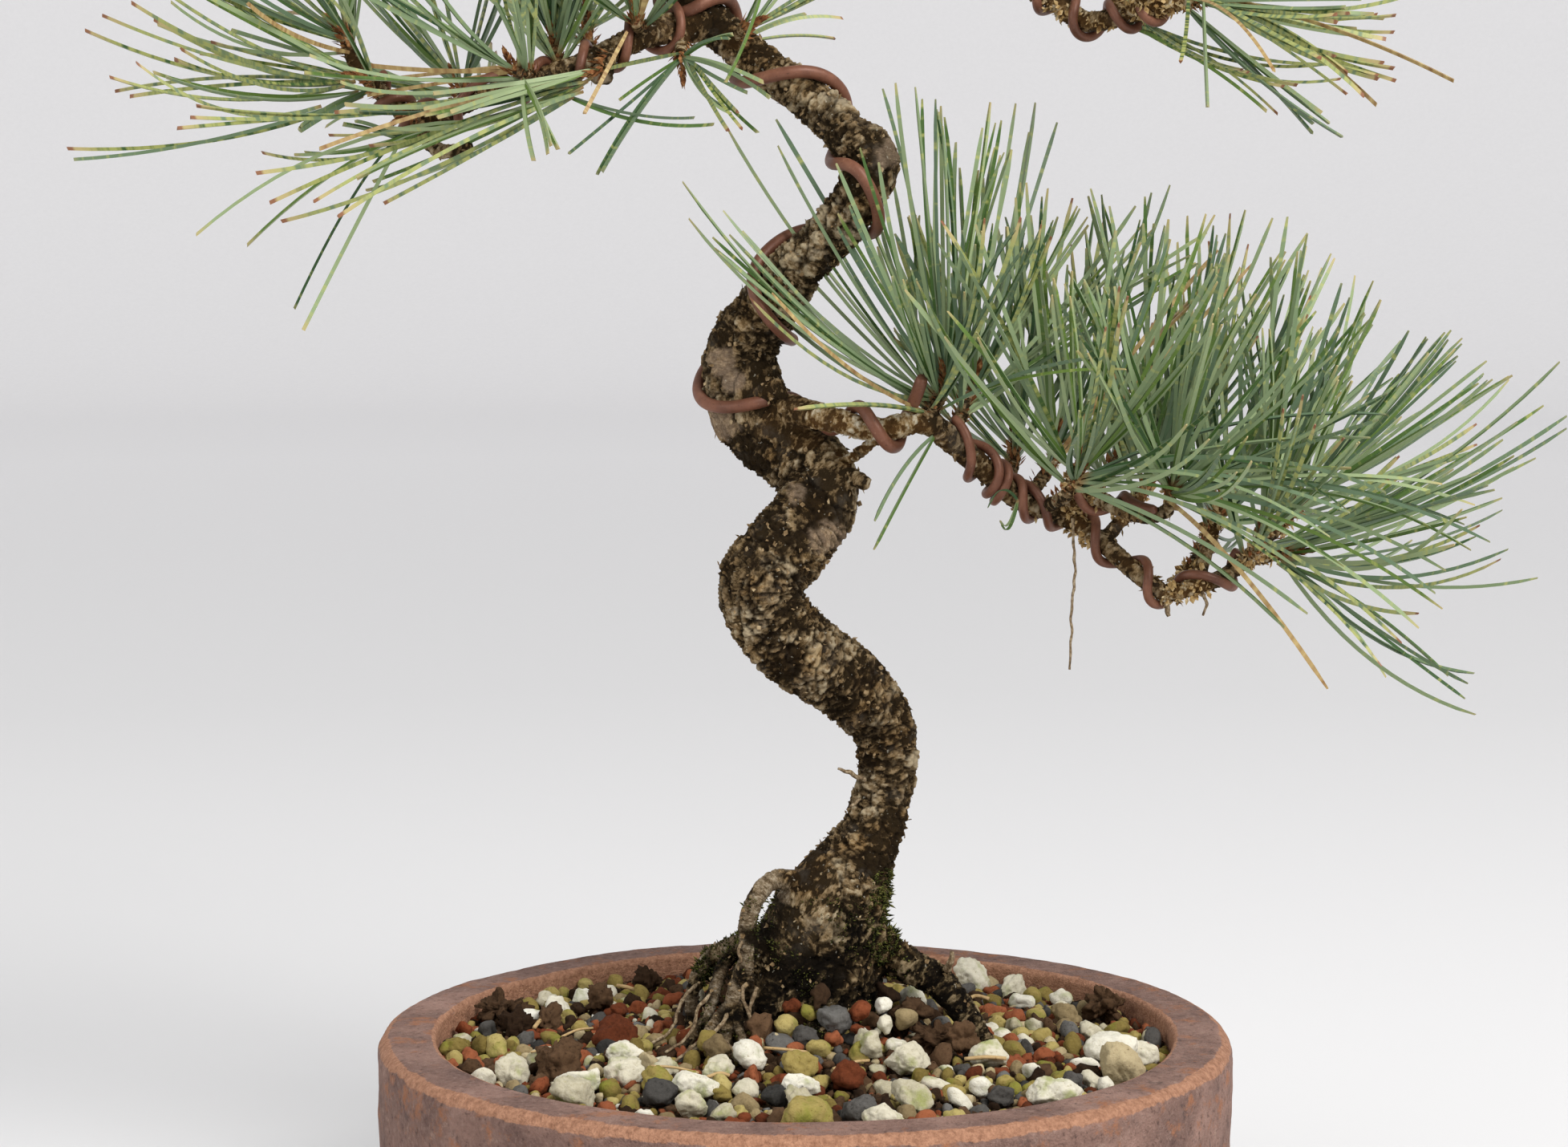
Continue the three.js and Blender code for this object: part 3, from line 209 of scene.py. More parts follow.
# Fascicles placed one by one, where they stand out against the light:
# shoot: [base, tip, height of the arch, needles, tone]
SPRAYS = {
    "left_01": [
        [[-94, 4, 261], [-150, -6, 275], -4, 2, "old"], [[-94, 4, 261], [-143, 6, 282], -3, 2, "mixed"],
        [[-94, 4, 261], [-138, 10, 270], -4, 1, "old"], [[-93, 4, 261], [-126, -14, 267], -3, 2, "old"],
        [[-95, 4, 267], [-138, 20, 277], -4, 2, "mixed"], [[-94, 2, 267], [-115, -20, 276], -1, 1, "dead"],
        [[-96, 4, 272], [-114, 26, 277], 1, 1, "dead"], [[-95, 4, 272], [-103, -6, 334], 2, 4, "green"],
        [[-95, 4, 272], [-88, 18, 332], 0, 4, "green"], [[-95, 4, 271], [-124, -22, 322], -3, 4, "mixed"],
        [[-95, 4, 270], [-141, 12, 305], -4, 4, "mixed"], [[-95, 4, 271], [-118, 30, 320], -3, 4, "green"],
        [[-95, 4, 270], [-136, -24, 297], -4, 3, "mixed"],
    ],
    "left_02": [
        [[-99, -6, 256], [-140, -20, 267], -4, 1, "old"], [[-95, 2, 261], [-145, 12, 258], 2, 2, "old"],
        [[-95, 2, 260], [-148, -10, 258], -3, 1, "old"], [[-91, 0, 258], [-152, 4, 247], -2, 2, "mixed"],
        [[-92, 0, 259], [-129, -28, 262], -3, 2, "mixed"], [[-88, -6, 260], [-96, -50, 283], 2, 3, "mixed"],
        [[-90, 0, 259], [-104, -12, 251], 1, 3, "green"],
    ],
    "left_03": [
        [[-69, -8, 253], [-121, -16, 228], 4, 2, "green"], [[-81, -8, 252], [-105, -12, 213], 3, 2, "green"],
        [[-82, -6, 249], [-93, -16, 253], 0, 2, "mixed"], [[-78, 0, 251], [-113, 4, 246], -3, 1, "old"],
        [[-80, -4, 254], [-101, 12, 253], 2, 2, "green"],
    ],
    "left_04": [
        [[-76, -6, 252], [-106, -4, 246], -2, 2, "mixed"],
    ],
    "left_05": [
        [[-45, -14, 260], [-112, -26, 238], -4, 2, "mixed"], [[-48, -14, 260], [-105, -30, 237], 2, 2, "old"],
        [[-45, -14, 259], [-93, -36, 237], 2, 2, "mixed"], [[-47, -14, 258], [-90, -30, 233], -2, 1, "old"],
        [[-46, -14, 262], [-100, -34, 244], 2, 1, "dead"], [[-44, -14, 261], [-96, -18, 250], -3, 3, "old"],
        [[-43, -14, 262], [-88, -6, 240], -2, 2, "mixed"], [[-45, -12, 262], [-91, -28, 254], -3, 3, "green"],
    ],
    "left_06": [
        [[-57, -20, 262], [-50, -28, 246], 1, 3, "green"], [[-50, -12, 259], [-19, -24, 253], -2, 2, "green"],
        [[-57, -20, 262], [-54, -28, 245], 0, 1, "green"],
    ],
    "left_10": [
        [[-25, -6, 266], [-47, -20, 247], -1, 1, "green"], [[-25, -6, 266], [-41, -24, 243], 1, 2, "green"],
        [[-25, -6, 266], [-38, -10, 257], 0, 1, "mixed"], [[-25, -6, 266], [-15, -16, 255], -2, 2, "green"],
        [[-25, -6, 266], [-7, -24, 259], 1, 2, "green"], [[-25, -6, 266], [-12, -20, 258], -1, 1, "green"],
        [[-25, -6, 266], [-15, -14, 270], 1, 2, "green"], [[-25, -5, 267], [-46, -12, 262], 0, 2, "mixed"],
        [[-36, -16, 271], [-47, -30, 254], 0, 1, "dead"],
    ],
    "left_11": [
        [[-12, 6, 270], [7, 14, 275], 1, 1, "old"], [[-12, 5, 269], [8, 10, 270], 1, 1, "old"],
        [[-12, 6, 270], [1, 20, 275], 0, 1, "mixed"], [[-12, 6, 271], [-2, 12, 284], 0, 2, "green"],
        [[-12, -4, 273], [-8, -30, 283], 0, 1, "green"], [[-8, -30, 282], [-15, -34, 261], 0, 1, "green"],
    ],
    "upper_01": [
        [[81, -4, 279], [121, -12, 274], -2, 2, "old"], [[81, -4, 279], [122, 6, 270], -2, 2, "old"],
        [[81, -4, 279], [130, -16, 263], 2, 1, "dead"], [[81, -4, 279], [108, -30, 264], -1, 2, "old"],
        [[78, -6, 278], [113, -20, 259], 2, 2, "old"], [[81, -4, 279], [120, -24, 255], 2, 1, "dead"],
        [[80, -6, 278], [109, -34, 255], 1, 1, "mixed"], [[78, -6, 278], [97, -36, 262], 2, 1, "dead"],
        [[81, -8, 278], [83, -20, 256], -2, 1, "mixed"], [[78, -8, 278], [75, -24, 266], -1, 1, "old"],
        [[81, -5, 279], [129, 8, 283], -2, 3, "mixed"], [[81, -5, 279], [124, -22, 287], -3, 3, "mixed"],
    ],
    "upper_02": [
        [[66, 6, 274], [104, 8, 258], -2, 2, "mixed"], [[65, 5, 273], [99, 4, 253], 2, 2, "mixed"],
        [[69, 3, 274], [93, 0, 262], -2, 2, "old"], [[68, 6, 274], [116, 14, 262], -3, 3, "old"],
    ],
    "right_01": [
        [[28, -8, 196], [-32, -14, 241], -4, 1, "green"], [[27, -8, 196], [-19, 6, 254], -2, 1, "green"],
        [[27, -8, 197], [-9, -18, 252], -3, 1, "green"], [[27, -8, 198], [-2, 0, 260], -3, 2, "green"],
        [[26, -8, 193], [-8, -30, 217], -3, 1, "dead"], [[26, -8, 193], [-3, -36, 194], 2, 1, "old"],
        [[27, -8, 196], [-12, -24, 224], -4, 2, "mixed"], [[28, -8, 196], [-22, -2, 236], -4, 2, "green"],
        [[27, -8, 189], [12, -14, 172], 2, 1, "green"], [[27, -8, 189], [16, -18, 166], 2, 1, "green"],
        [[28, -8, 197], [21, -4, 261], 1, 2, "green"], [[29, -8, 197], [28, -14, 259], 0, 2, "green"],
        [[29, -8, 197], [34, -2, 261], 0, 2, "green"], [[29, -8, 197], [42, 6, 253], 0, 3, "green"],
        [[28, -8, 197], [8, -26, 251], -2, 3, "green"], [[28, -8, 195], [44, -48, 232], 3, 3, "green"],
        [[28, -8, 194], [60, -46, 206], 2, 2, "mixed"], [[28, -8, 194], [-14, 16, 222], -3, 2, "green"],
    ],
    "right_05": [
        [[44, -8, 175], [40, -14, 171], -3, 2, "green"], [[44, -8, 175], [38, -12, 174], 3, 1, "green"],
        [[56, -19, 181], [114, -38, 178], 5, 3, "green"], [[56, -19, 180], [104, -52, 166], 5, 3, "green"],
        [[55, -18, 179], [98, -46, 156], 4, 2, "mixed"], [[55, -18, 180], [117, -30, 190], 4, 3, "green"],
    ],
    "right_07": [
        [[74, -20, 178], [128, -46, 156], 5, 3, "green"], [[74, -20, 178], [134, -38, 166], 5, 3, "green"],
        [[73, -20, 177], [118, -52, 146], 4, 2, "mixed"], [[74, -20, 178], [136, -34, 178], 4, 3, "green"],
        [[73, -19, 177], [112, -44, 140], 4, 1, "dead"],
    ],
    "right_11": [
        [[101, 2, 162], [151, -10, 162], -4, 2, "green"], [[101, 2, 163], [152, 14, 177], -3, 2, "green"],
        [[100, 2, 161], [141, -20, 168], -4, 2, "mixed"], [[99, 2, 161], [137, -14, 140], 4, 1, "green"],
        [[99, 2, 161], [124, 4, 137], 3, 1, "green"], [[99, 2, 161], [126, -24, 152], -2, 1, "mixed"],
        [[100, 2, 162], [148, 24, 168], -4, 2, "green"], [[101, 2, 164], [150, -22, 188], -4, 3, "green"],
        [[101, 2, 164], [156, 8, 193], -4, 3, "green"], [[101, 2, 163], [130, -50, 176], -3, 3, "green"],
        [[101, 2, 164], [160, -2, 200], -4, 2, "green"], [[100, 2, 162], [134, 48, 164], -4, 3, "green"],
    ],
}


# ------------------------------------------------------------------ curves
def catmull(points, places):
    """Points of a centripetal Catmull-Rom curve; a place counts the points, as the CAD's limbs do."""
    points = np.asarray(points, float)
    padded = np.vstack([2 * points[0] - points[1], points, 2 * points[-1] - points[-2]])
    places = np.clip(np.asarray(places, float), 0, len(points) - 1)
    index = np.minimum(places.astype(int), len(points) - 2)
    t = (places - index)[:, None]
    p0, p1, p2, p3 = (padded[index + shift] for shift in range(4))
    d0 = np.sqrt(np.linalg.norm(p1 - p0, axis=1))[:, None]
    d1 = np.sqrt(np.linalg.norm(p2 - p1, axis=1))[:, None]
    d2 = np.sqrt(np.linalg.norm(p3 - p2, axis=1))[:, None]
    slope1 = ((p1 - p0) / d0 - (p2 - p0) / (d0 + d1) + (p2 - p1) / d1) * d1
    slope2 = ((p2 - p1) / d1 - (p3 - p1) / (d1 + d2) + (p3 - p2) / d2) * d1
    cubic2 = -3 * p1 + 3 * p2 - 2 * slope1 - slope2
    cubic3 = 2 * p1 - 2 * p2 + slope1 + slope2
    return p1 + slope1 * t + cubic2 * t**2 + cubic3 * t**3


def unit(vectors):
    """The vectors at length 1."""
    vectors = np.asarray(vectors, float)
    return vectors / np.linalg.norm(vectors, axis=-1, keepdims=True)


def fine_limb(stations, step=0.8):
    """A limb's middle line and radius at places about `step` mm apart: (points, radii, places)."""
    stations = np.asarray(stations, float)
    length = np.linalg.norm(np.diff(stations[:, :3], axis=0), axis=1).sum()
    places = np.linspace(0, len(stations) - 1, max(4, int(length / step)))
    points = catmull(stations[:, :3], places)
    radii = np.interp(places, np.arange(len(stations)), stations[:, 3])
    return points, radii, places


def ring_frames(points):
    """Two directions across the line at each point, turning as little as possible along it."""
    headings = unit(np.gradient(points, axis=0))
    start = np.array([1.0, 0, 0]) if abs(headings[0][0]) < 0.8 else np.array([0, 1.0, 0])
    across = []
    for heading in headings:
        start = unit(start - heading * start.dot(heading))
        across.append(start)
    across = np.array(across)
    return across, np.cross(headings, across)


def quads(rings, sides, first=0):
    """The faces between neighbouring rings of vertices, the rings' first vertex numbered `first`."""
    faces = []
    for ring in range(rings - 1):
        for side in range(sides):
            a = first + ring * sides + side
            b = first + ring * sides + (side + 1) % sides
            faces.append((a, b, b + sides, a + sides))
    return faces


def tube(points, radii, sides):
    """A closed tube round a line: (vertices, faces)."""
    across, third = ring_frames(points)
    angles = np.linspace(0, 2 * math.pi, sides, endpoint=False)
    spokes = across[:, None] * np.cos(angles)[None, :, None] + third[:, None] * np.sin(angles)[None, :, None]
    rings = points[:, None] + spokes * np.asarray(radii)[:, None, None]
    vertices = rings.reshape(-1, 3)
    faces = quads(len(points), sides)
    faces.append(tuple(range(sides - 1, -1, -1)))
    last = (len(points) - 1) * sides
    faces.append(tuple(range(last, last + sides)))
    return vertices, faces


def gather(parts):
    """Joins (vertices, faces) parts into one pair of lists."""
    vertices = []
    faces = []
    count = 0
    for part_vertices, part_faces in parts:
        vertices.append(np.asarray(part_vertices, float))
        faces.extend([tuple(corner + count for corner in face) for face in part_faces])
        count += len(part_vertices)
    return np.vstack(vertices), faces


def new_object(name, vertices, faces, smooth=True):
    """A mesh object from vertices in millimetres."""
    mesh = bpy.data.meshes.new(name)
    mesh.from_pydata((np.asarray(vertices) * MM).tolist(), [], faces)
    mesh.validate()
    mesh.polygons.foreach_set("use_smooth", [smooth] * len(mesh.polygons))
    mesh.update()
    piece = bpy.data.objects.new(name, mesh)
    bpy.context.scene.collection.objects.link(piece)
    return piece


def apply_modifiers(piece):
    """Turns the piece's modifiers into its mesh."""
    graph = bpy.context.evaluated_depsgraph_get()
    mesh = bpy.data.meshes.new_from_object(piece.evaluated_get(graph))
    old = piece.data
    piece.modifiers.clear()
    piece.data = mesh
    bpy.data.meshes.remove(old)
    mesh.name = piece.name


def places_of(mesh):
    """The mesh's vertices in millimetres."""
    flat = np.empty(len(mesh.vertices) * 3, np.float32)
    mesh.vertices.foreach_get("co", flat)
    return flat.reshape(-1, 3).astype(float) / MM


def normals_of(mesh):
    flat = np.empty(len(mesh.vertices) * 3, np.float32)
    mesh.vertex_normals.foreach_get("vector", flat)
    return flat.reshape(-1, 3).astype(float)


def set_places(mesh, vertices):
    mesh.vertices.foreach_set("co", (vertices * MM).astype(np.float32).ravel())
    mesh.update()


def add_attribute(mesh, name, values):
    attribute = mesh.attributes.new(name, "FLOAT", "POINT")
    attribute.data.foreach_set("value", np.asarray(values, np.float32))


def noise_at(vertices, size, seed=0.0):
    """Smooth noise from about -1 to 1 at each vertex, with features about `size` mm across."""
    offset = Vector((seed * 17.3, seed * 7.1, seed * 3.7))
    return np.array([noise.noise(Vector(v) / size + offset) for v in vertices])


def smooth_step(low, high, values):
    """From 0 at `low` to 1 at `high`; `low` may be the greater."""
    t = np.clip((np.asarray(values) - low) / (high - low), 0, 1)
    return t * t * (3 - 2 * t)


# ------------------------------------------------------------------ materials
class Look:
    """A material and the nodes that make its colour, gloss and bump."""

    def __init__(self, name, roughness=0.8, specular=0.35):
        self.material = bpy.data.materials.new(name)
        self.material.use_nodes = True
        self.nodes = self.material.node_tree.nodes
        self.links = self.material.node_tree.links
        self.shader = self.nodes["Principled BSDF"]
        self.shader.inputs["Roughness"].default_value = roughness
        self.shader.inputs["Specular IOR Level"].default_value = specular

    def add_node(self, kind, inputs=None, **settings):
        """A new node; an input's value may be a plain value or another node's output."""
        node = self.nodes.new(kind)
        for key, value in settings.items():
            setattr(node, key, value)
        for key, value in (inputs or {}).items():
            if isinstance(value, bpy.types.NodeSocket):
                self.links.new(value, node.inputs[key])
            else:
                node.inputs[key].default_value = value
        return node

    def spots(self, size, detail=3.0, rough=0.55, seed=0.0):
        """Noise over the object with features about `size` mm across."""
        place = self.add_node("ShaderNodeTexCoord").outputs["Object"]
        mapped = self.add_node("ShaderNodeMapping", {
            "Vector": place, "Location": (seed, seed * 0.7, seed * 0.3),
        })
        noise_node = self.add_node("ShaderNodeTexNoise", {
            "Vector": mapped.outputs["Vector"], "Scale": 1 / (size * MM), "Detail": detail,
            "Roughness": rough,
        })
        return noise_node.outputs["Fac"]

    def streaks(self, along, across, detail=3.0, rough=0.55, seed=0.0):
        """Noise in the bark's own frame, with features `along` by `across` the limb, in mm."""
        place = self.add_node("ShaderNodeAttribute", attribute_name="bark_place").outputs["Vector"]
        mapped = self.add_node("ShaderNodeMapping", {
            "Vector": place, "Scale": (1 / along, 1 / across, 1 / across),
            "Location": (seed, seed * 0.7, seed * 0.3),
        })
        noise_node = self.add_node("ShaderNodeTexNoise", {
            "Vector": mapped.outputs["Vector"], "Scale": 1.0, "Detail": detail, "Roughness": rough,
        })
        return noise_node.outputs["Fac"]

    def attribute(self, name):
        return self.add_node("ShaderNodeAttribute", attribute_name=name).outputs["Fac"]

    def maths(self, operation, first, second=0.0):
        return self.add_node("ShaderNodeMath", {0: first, 1: second}, operation=operation).outputs[0]

    def times(self, value, factor):
        return self.maths("MULTIPLY", value, factor)

    def plus(self, first, second):
        return self.maths("ADD", first, second)

    def span(self, value, low, high, to_low=0.0, to_high=1.0):
        """The value's place between two limits, clamped, as a number from to_low to to_high."""
        node = self.add_node("ShaderNodeMapRange", {
            "Value": value, "From Min": low, "From Max": high, "To Min": to_low, "To Max": to_high,
        }, clamp=True)
        return node.outputs["Result"]

    def ramp(self, value, *stops):
        """Colours along a value: stops are (value, (r, g, b))."""
        node = self.add_node("ShaderNodeValToRGB", {"Fac": value})
        elements = node.color_ramp.elements
        while len(elements) < len(stops):
            elements.new(0.5)
        for element, (position, colour) in zip(elements, stops):
            element.position = position
            element.color = (*colour, 1)
        return node.outputs["Color"]

    def mix(self, factor, first, second, blend="MIX"):
        """Mixes two colours; each is a plain (r, g, b) or another node's output."""
        node = self.add_node("ShaderNodeMix", {"Factor": factor}, data_type="RGBA", blend_type=blend)
        colour_inputs = [socket for socket in node.inputs if socket.type == "RGBA"]
        for socket, colour in zip(colour_inputs, (first, second)):
            if isinstance(colour, bpy.types.NodeSocket):
                self.links.new(colour, socket)
            else:
                socket.default_value = (*colour, 1)
        return next(socket for socket in node.outputs if socket.type == "RGBA")

    def cover(self, base, mask, share, colour):
        """The base colour with this share of another over it where the mask is 1."""
        return self.mix(self.times(mask, share), base, colour)

    def bump(self, height, depth):
        """Bump from a height of 0 to 1 that is `depth` mm deep."""
        inputs = {"Height": height, "Distance": depth * MM, "Strength": 1.0}
        return self.add_node("ShaderNodeBump", inputs).outputs["Normal"]

    def finish(self, colour, roughness=None, normal=None):
        """Wires the outputs into the shader and returns the material."""
        self.links.new(colour, self.shader.inputs["Base Color"])
        if roughness is not None:
            self.links.new(roughness, self.shader.inputs["Roughness"])
        if normal is not None:
            self.links.new(normal, self.shader.inputs["Normal"])
        return self.material


def stoneware_material():
    """Unglazed purple-brown clay, gritty, with rust spots, rubbed to orange along its edges."""
    look = Look("stoneware", specular=0.2)
    broad = look.spots(16, detail=5, rough=0.6)
    grit = look.spots(1.3, detail=5, rough=0.7)
    body = look.ramp(broad, (0.3, (0.125, 0.074, 0.062)), (0.5, (0.20, 0.118, 0.094)),
                     (0.68, (0.285, 0.172, 0.138)))
    body = look.mix(look.span(grit, 0.5, 0.8, 0, 0.6), body, (0.33, 0.22, 0.18))
    body = look.mix(look.span(grit, 0.44, 0.28), body, (0.062, 0.036, 0.03))
    rust = look.span(look.spots(8, detail=6, rough=0.7, seed=3), 0.55, 0.64)
    body = look.cover(body, rust, 0.8, (0.30, 0.125, 0.06))
    scuff = look.span(look.spots(3.2, detail=7, rough=0.75, seed=8), 0.58, 0.66)
    body = look.cover(body, scuff, 0.45, (0.36, 0.25, 0.2))
    dark = look.span(look.spots(5, detail=6, rough=0.7, seed=11), 0.58, 0.68)
    body = look.cover(body, dark, 0.6, (0.075, 0.05, 0.045))
    broad_rags = look.times(look.spots(9, detail=6, rough=0.7, seed=6), 1.4)
    fine_rags = look.times(look.spots(2.5, detail=5, rough=0.7, seed=12), 0.5)
    ragged = look.plus(broad_rags, fine_rags)
    worn = look.span(look.plus(look.attribute("wear"), ragged), 1.38, 1.50)
    rubbed = look.mix(look.span(grit, 0.35, 0.65), (0.24, 0.115, 0.068), (0.43, 0.225, 0.138))
    body = look.mix(worn, body, rubbed)
    height = look.plus(look.times(grit, 0.7), look.spots(0.5, detail=2))
    normal = look.bump(height, 0.5)
    return look.finish(body, look.span(grit, 0.3, 0.7, 0.92, 0.72), normal)


def bark_material():
    """Flaky olive-brown bark; thin wood is paler and papery; scars are smooth; the base is dark and damp."""
    look = Look("pine_bark", specular=0.08)
    shade = look.attribute("shade")
    fine = look.streaks(0.45, 0.8, detail=5, rough=0.8)
    lines = look.streaks(0.7, 4.0, detail=5, rough=0.7, seed=4)
    patch = look.spots(7, detail=4, rough=0.6, seed=2)
    tone = look.times(look.maths("SUBTRACT", shade, 0.5), 0.34)
    for part, share in ((fine, 0.6), (lines, 0.38), (patch, 0.22)):
        tone = look.plus(tone, look.times(part, share))
    old = look.ramp(tone, (0.38, (0.030, 0.019, 0.008)), (0.45, (0.120, 0.079, 0.037)),
                    (0.52, (0.235, 0.158, 0.078)), (0.61, (0.345, 0.252, 0.140)), (0.72, (0.52, 0.42, 0.27)))
    golden = look.span(look.spots(10, detail=3, seed=9), 0.5, 0.62)
    old = look.mix(look.times(golden, 0.45), old, (1.0, 0.8, 0.5), "MULTIPLY")
    grey = look.span(look.spots(6, detail=4, seed=14), 0.56, 0.66)
    old = look.cover(old, grey, 0.35, (0.11, 0.097, 0.08))
    papery = look.ramp(tone, (0.46, (0.11, 0.055, 0.018)), (0.55, (0.30, 0.185, 0.075)),
                       (0.64, (0.50, 0.38, 0.22)), (0.76, (0.70, 0.62, 0.47)))
    colour = look.mix(look.attribute("papery"), old, papery)
    smooth_wood = look.mix(look.span(fine, 0.35, 0.65), (0.21, 0.14, 0.09), (0.47, 0.35, 0.24))
    colour = look.cover(colour, look.attribute("scar"), 0.62, smooth_wood)
    sawn = look.mix(fine, (0.3, 0.21, 0.13), (0.58, 0.47, 0.33))
    colour = look.mix(look.attribute("cut"), colour, sawn)
    root_grain = look.plus(look.times(fine, 0.5), look.times(lines, 0.5))
    pale_root = look.ramp(root_grain, (0.42, (0.09, 0.058, 0.03)), (0.52, (0.30, 0.225, 0.14)),
                          (0.62, (0.56, 0.48, 0.36)))
    colour = look.mix(look.attribute("pale"), colour, pale_root)
    # cracks darkened, partly their own dark colour and partly painted shade; the wrinkles' creases carry
    # painted shade
    colour = look.mix(look.attribute("crack"), colour, (0.018, 0.011, 0.005))
    wet = look.ramp(tone, (0.42, (0.003, 0.002, 0.001)), (0.52, (0.016, 0.011, 0.005)),
                    (0.60, (0.080, 0.057, 0.028)), (0.70, (0.27, 0.20, 0.11)))
    colour = look.mix(look.attribute("damp"), colour, wet)
    flecks = look.span(look.spots(1.0, detail=2, seed=5), 0.70, 0.74)
    colour = look.cover(colour, flecks, 0.5, (0.6, 0.56, 0.45))
    normal = look.bump(look.plus(fine, lines), 0.7)
    return look.finish(colour, look.span(fine, 0.3, 0.7, 0.98, 0.8), normal)


def scale_material(name, dark, middle, light):
    """Dry scales: bud scales are reddish brown, loose flakes of thin bark are golden."""
    look = Look(name, roughness=0.75, specular=0.15)
    fine = look.spots(1.4, detail=3)
    colour = look.ramp(fine, (0.3, dark), (0.5, middle), (0.7, light))
    return look.finish(colour)


def wire_material():
    """Copper-brown anodised aluminium wire, dulled and scratched in places."""
    look = Look("anodised_wire", roughness=0.5, specular=0.3)
    look.shader.inputs["Metallic"].default_value = 0.15
    broad = look.spots(6, detail=4)
    fine = look.spots(0.5, detail=4, rough=0.7)
    colour = look.ramp(broad, (0.3, (0.092, 0.036, 0.021)), (0.55, (0.165, 0.066, 0.038)),
                       (0.75, (0.24, 0.108, 0.064)))
    colour = look.mix(look.span(fine, 0.62, 0.75, 0, 0.6), colour, (0.34, 0.22, 0.14))
    colour = look.mix(look.span(fine, 0.4, 0.28), colour, (0.04, 0.02, 0.012))
    normal = look.bump(fine, 0.05)
    return look.finish(colour, look.span(broad, 0.3, 0.7, 0.36, 0.55), normal)


def needle_material():
    """Each needle is one column of the map: its tone, its outer face and its two paler inner faces.

    Columns below OLD_COLUMN are green, then come mottled old needles, then dead tan ones.
    """
    look = Look("pine_needle", roughness=0.45, specular=0.25)
    place = look.add_node("ShaderNodeUVMap", uv_map=NEEDLE_MAP).outputs["UV"]
    parts = look.add_node("ShaderNodeSeparateXYZ", {"Vector": place})
    column = look.times(parts.outputs["X"], NEEDLE_COLUMNS)
    number = look.maths("FLOOR", column)
    own = look.add_node("ShaderNodeTexWhiteNoise", {"W": number}, noise_dimensions="1D").outputs["Value"]
    side = look.maths("FRACT", column)
    along = parts.outputs["Y"]
    outer = look.ramp(own, (0.0, (0.026, 0.064, 0.022)), (0.5, (0.058, 0.118, 0.028)),
                      (1.0, (0.125, 0.200, 0.040)))
    inner = look.ramp(own, (0.0, (0.095, 0.150, 0.085)), (0.5, (0.180, 0.245, 0.125)),
                      (1.0, (0.280, 0.350, 0.180)))
    colour = look.mix(look.maths("GREATER_THAN", side, 1 / 3), outer, inner)
    spot_place = look.add_node("ShaderNodeCombineXYZ", {"X": number, "Y": look.times(along, 26.0)})
    blotches = look.add_node("ShaderNodeTexNoise", {
        "Vector": spot_place.outputs["Vector"], "Scale": 1.0, "Detail": 3.0,
    }).outputs["Fac"]
    old = look.maths("GREATER_THAN", number, OLD_COLUMN - 0.5)
    yellowed = look.plus(look.times(old, 0.16), look.times(along, 0.12))
    fleck = look.span(look.plus(blotches, yellowed), 0.64, 0.78, 0, 0.75)
    colour = look.mix(fleck, colour, (0.38, 0.39, 0.12))
    tip_start = look.span(look.plus(own, old), 0.4, 1.6, 0.995, 0.88)
    tip = look.span(look.maths("SUBTRACT", along, tip_start), -0.02, 0.05)
    colour = look.mix(tip, colour, (0.40, 0.33, 0.15))
    burnt = look.times(look.span(along, 0.975, 0.985), old)
    colour = look.mix(burnt, colour, (0.22, 0.10, 0.05))
    dead = look.maths("GREATER_THAN", number, DEAD_COLUMN - 0.5)
    tan = look.ramp(blotches, (0.35, (0.22, 0.12, 0.045)), (0.65, (0.46, 0.35, 0.15)))
    colour = look.mix(dead, colour, tan)
    colour = look.mix(look.span(along, 0.05, 0.0), colour, (0.28, 0.17, 0.07))
    return look.finish(colour)


def grain_material(name, dark, middle, light, pit_depth=0.3, algae=None):
    """Pitted stone whose grains differ in tone; algae greens parts of it."""
    look = Look(name, roughness=0.95, specular=0.1)
    tone = look.attribute("tone")
    fine = look.spots(0.8, detail=4, rough=0.7)
    both = look.plus(look.times(tone, 0.6), look.times(fine, 0.4))
    colour = look.ramp(both, (0.15, dark), (0.5, middle), (0.85, light))
    if algae is not None:
        grown = look.span(look.spots(6, detail=4, rough=0.6, seed=4), 0.52, 0.68)
        colour = look.cover(colour, grown, 0.75, algae)
    colour = look.mix(look.span(fine, 0.4, 0.28), colour, dark)
    return look.finish(colour, None, look.bump(fine, pit_depth))


def moss_material():
    """Dark moss with yellow-green tips."""
    look = Look("moss", roughness=0.9, specular=0.15)
    fine = look.spots(1.2, detail=3)
    colour = look.ramp(fine, (0.35, (0.012, 0.014, 0.004)), (0.52, (0.048, 0.052, 0.010)),
                       (0.68, (0.20, 0.20, 0.05)))
    return look.finish(colour)


def plastic_material():
    """Matt black plastic."""
    look = Look("screen_plastic", roughness=0.5)
    fine = look.spots(1.5, detail=4)
    colour = look.ramp(fine, (0.3, (0.018, 0.018, 0.018)), (0.7, (0.035, 0.034, 0.032)))
    return look.finish(colour, look.span(fine, 0.3, 0.7, 0.4, 0.6), look.bump(fine, 0.05))


def paper_material():
    """Plain pale paper, painted lighter far from the pot than round it: painted light that makes up for the
    lamps lighting the far paper less.
    """
    look = Look("backdrop", roughness=0.95, specular=0.1)
    fibre = look.spots(3, detail=3)
    far = look.ramp(fibre, (0.3, (0.850, 0.847, 0.856)), (0.7, (0.870, 0.867, 0.876)))
    place = look.add_node("ShaderNodeTexCoord").outputs["Object"]
    away = look.add_node("ShaderNodeVectorMath", {0: place}, operation="LENGTH").outputs["Value"]
    # painted light: darker paper near the pot and paler far off, evening out the lamps' falloff with distance
    colour = look.mix(look.span(away, 2.0, 0.9), far, (0.73, 0.73, 0.737))
    return look.finish(colour)


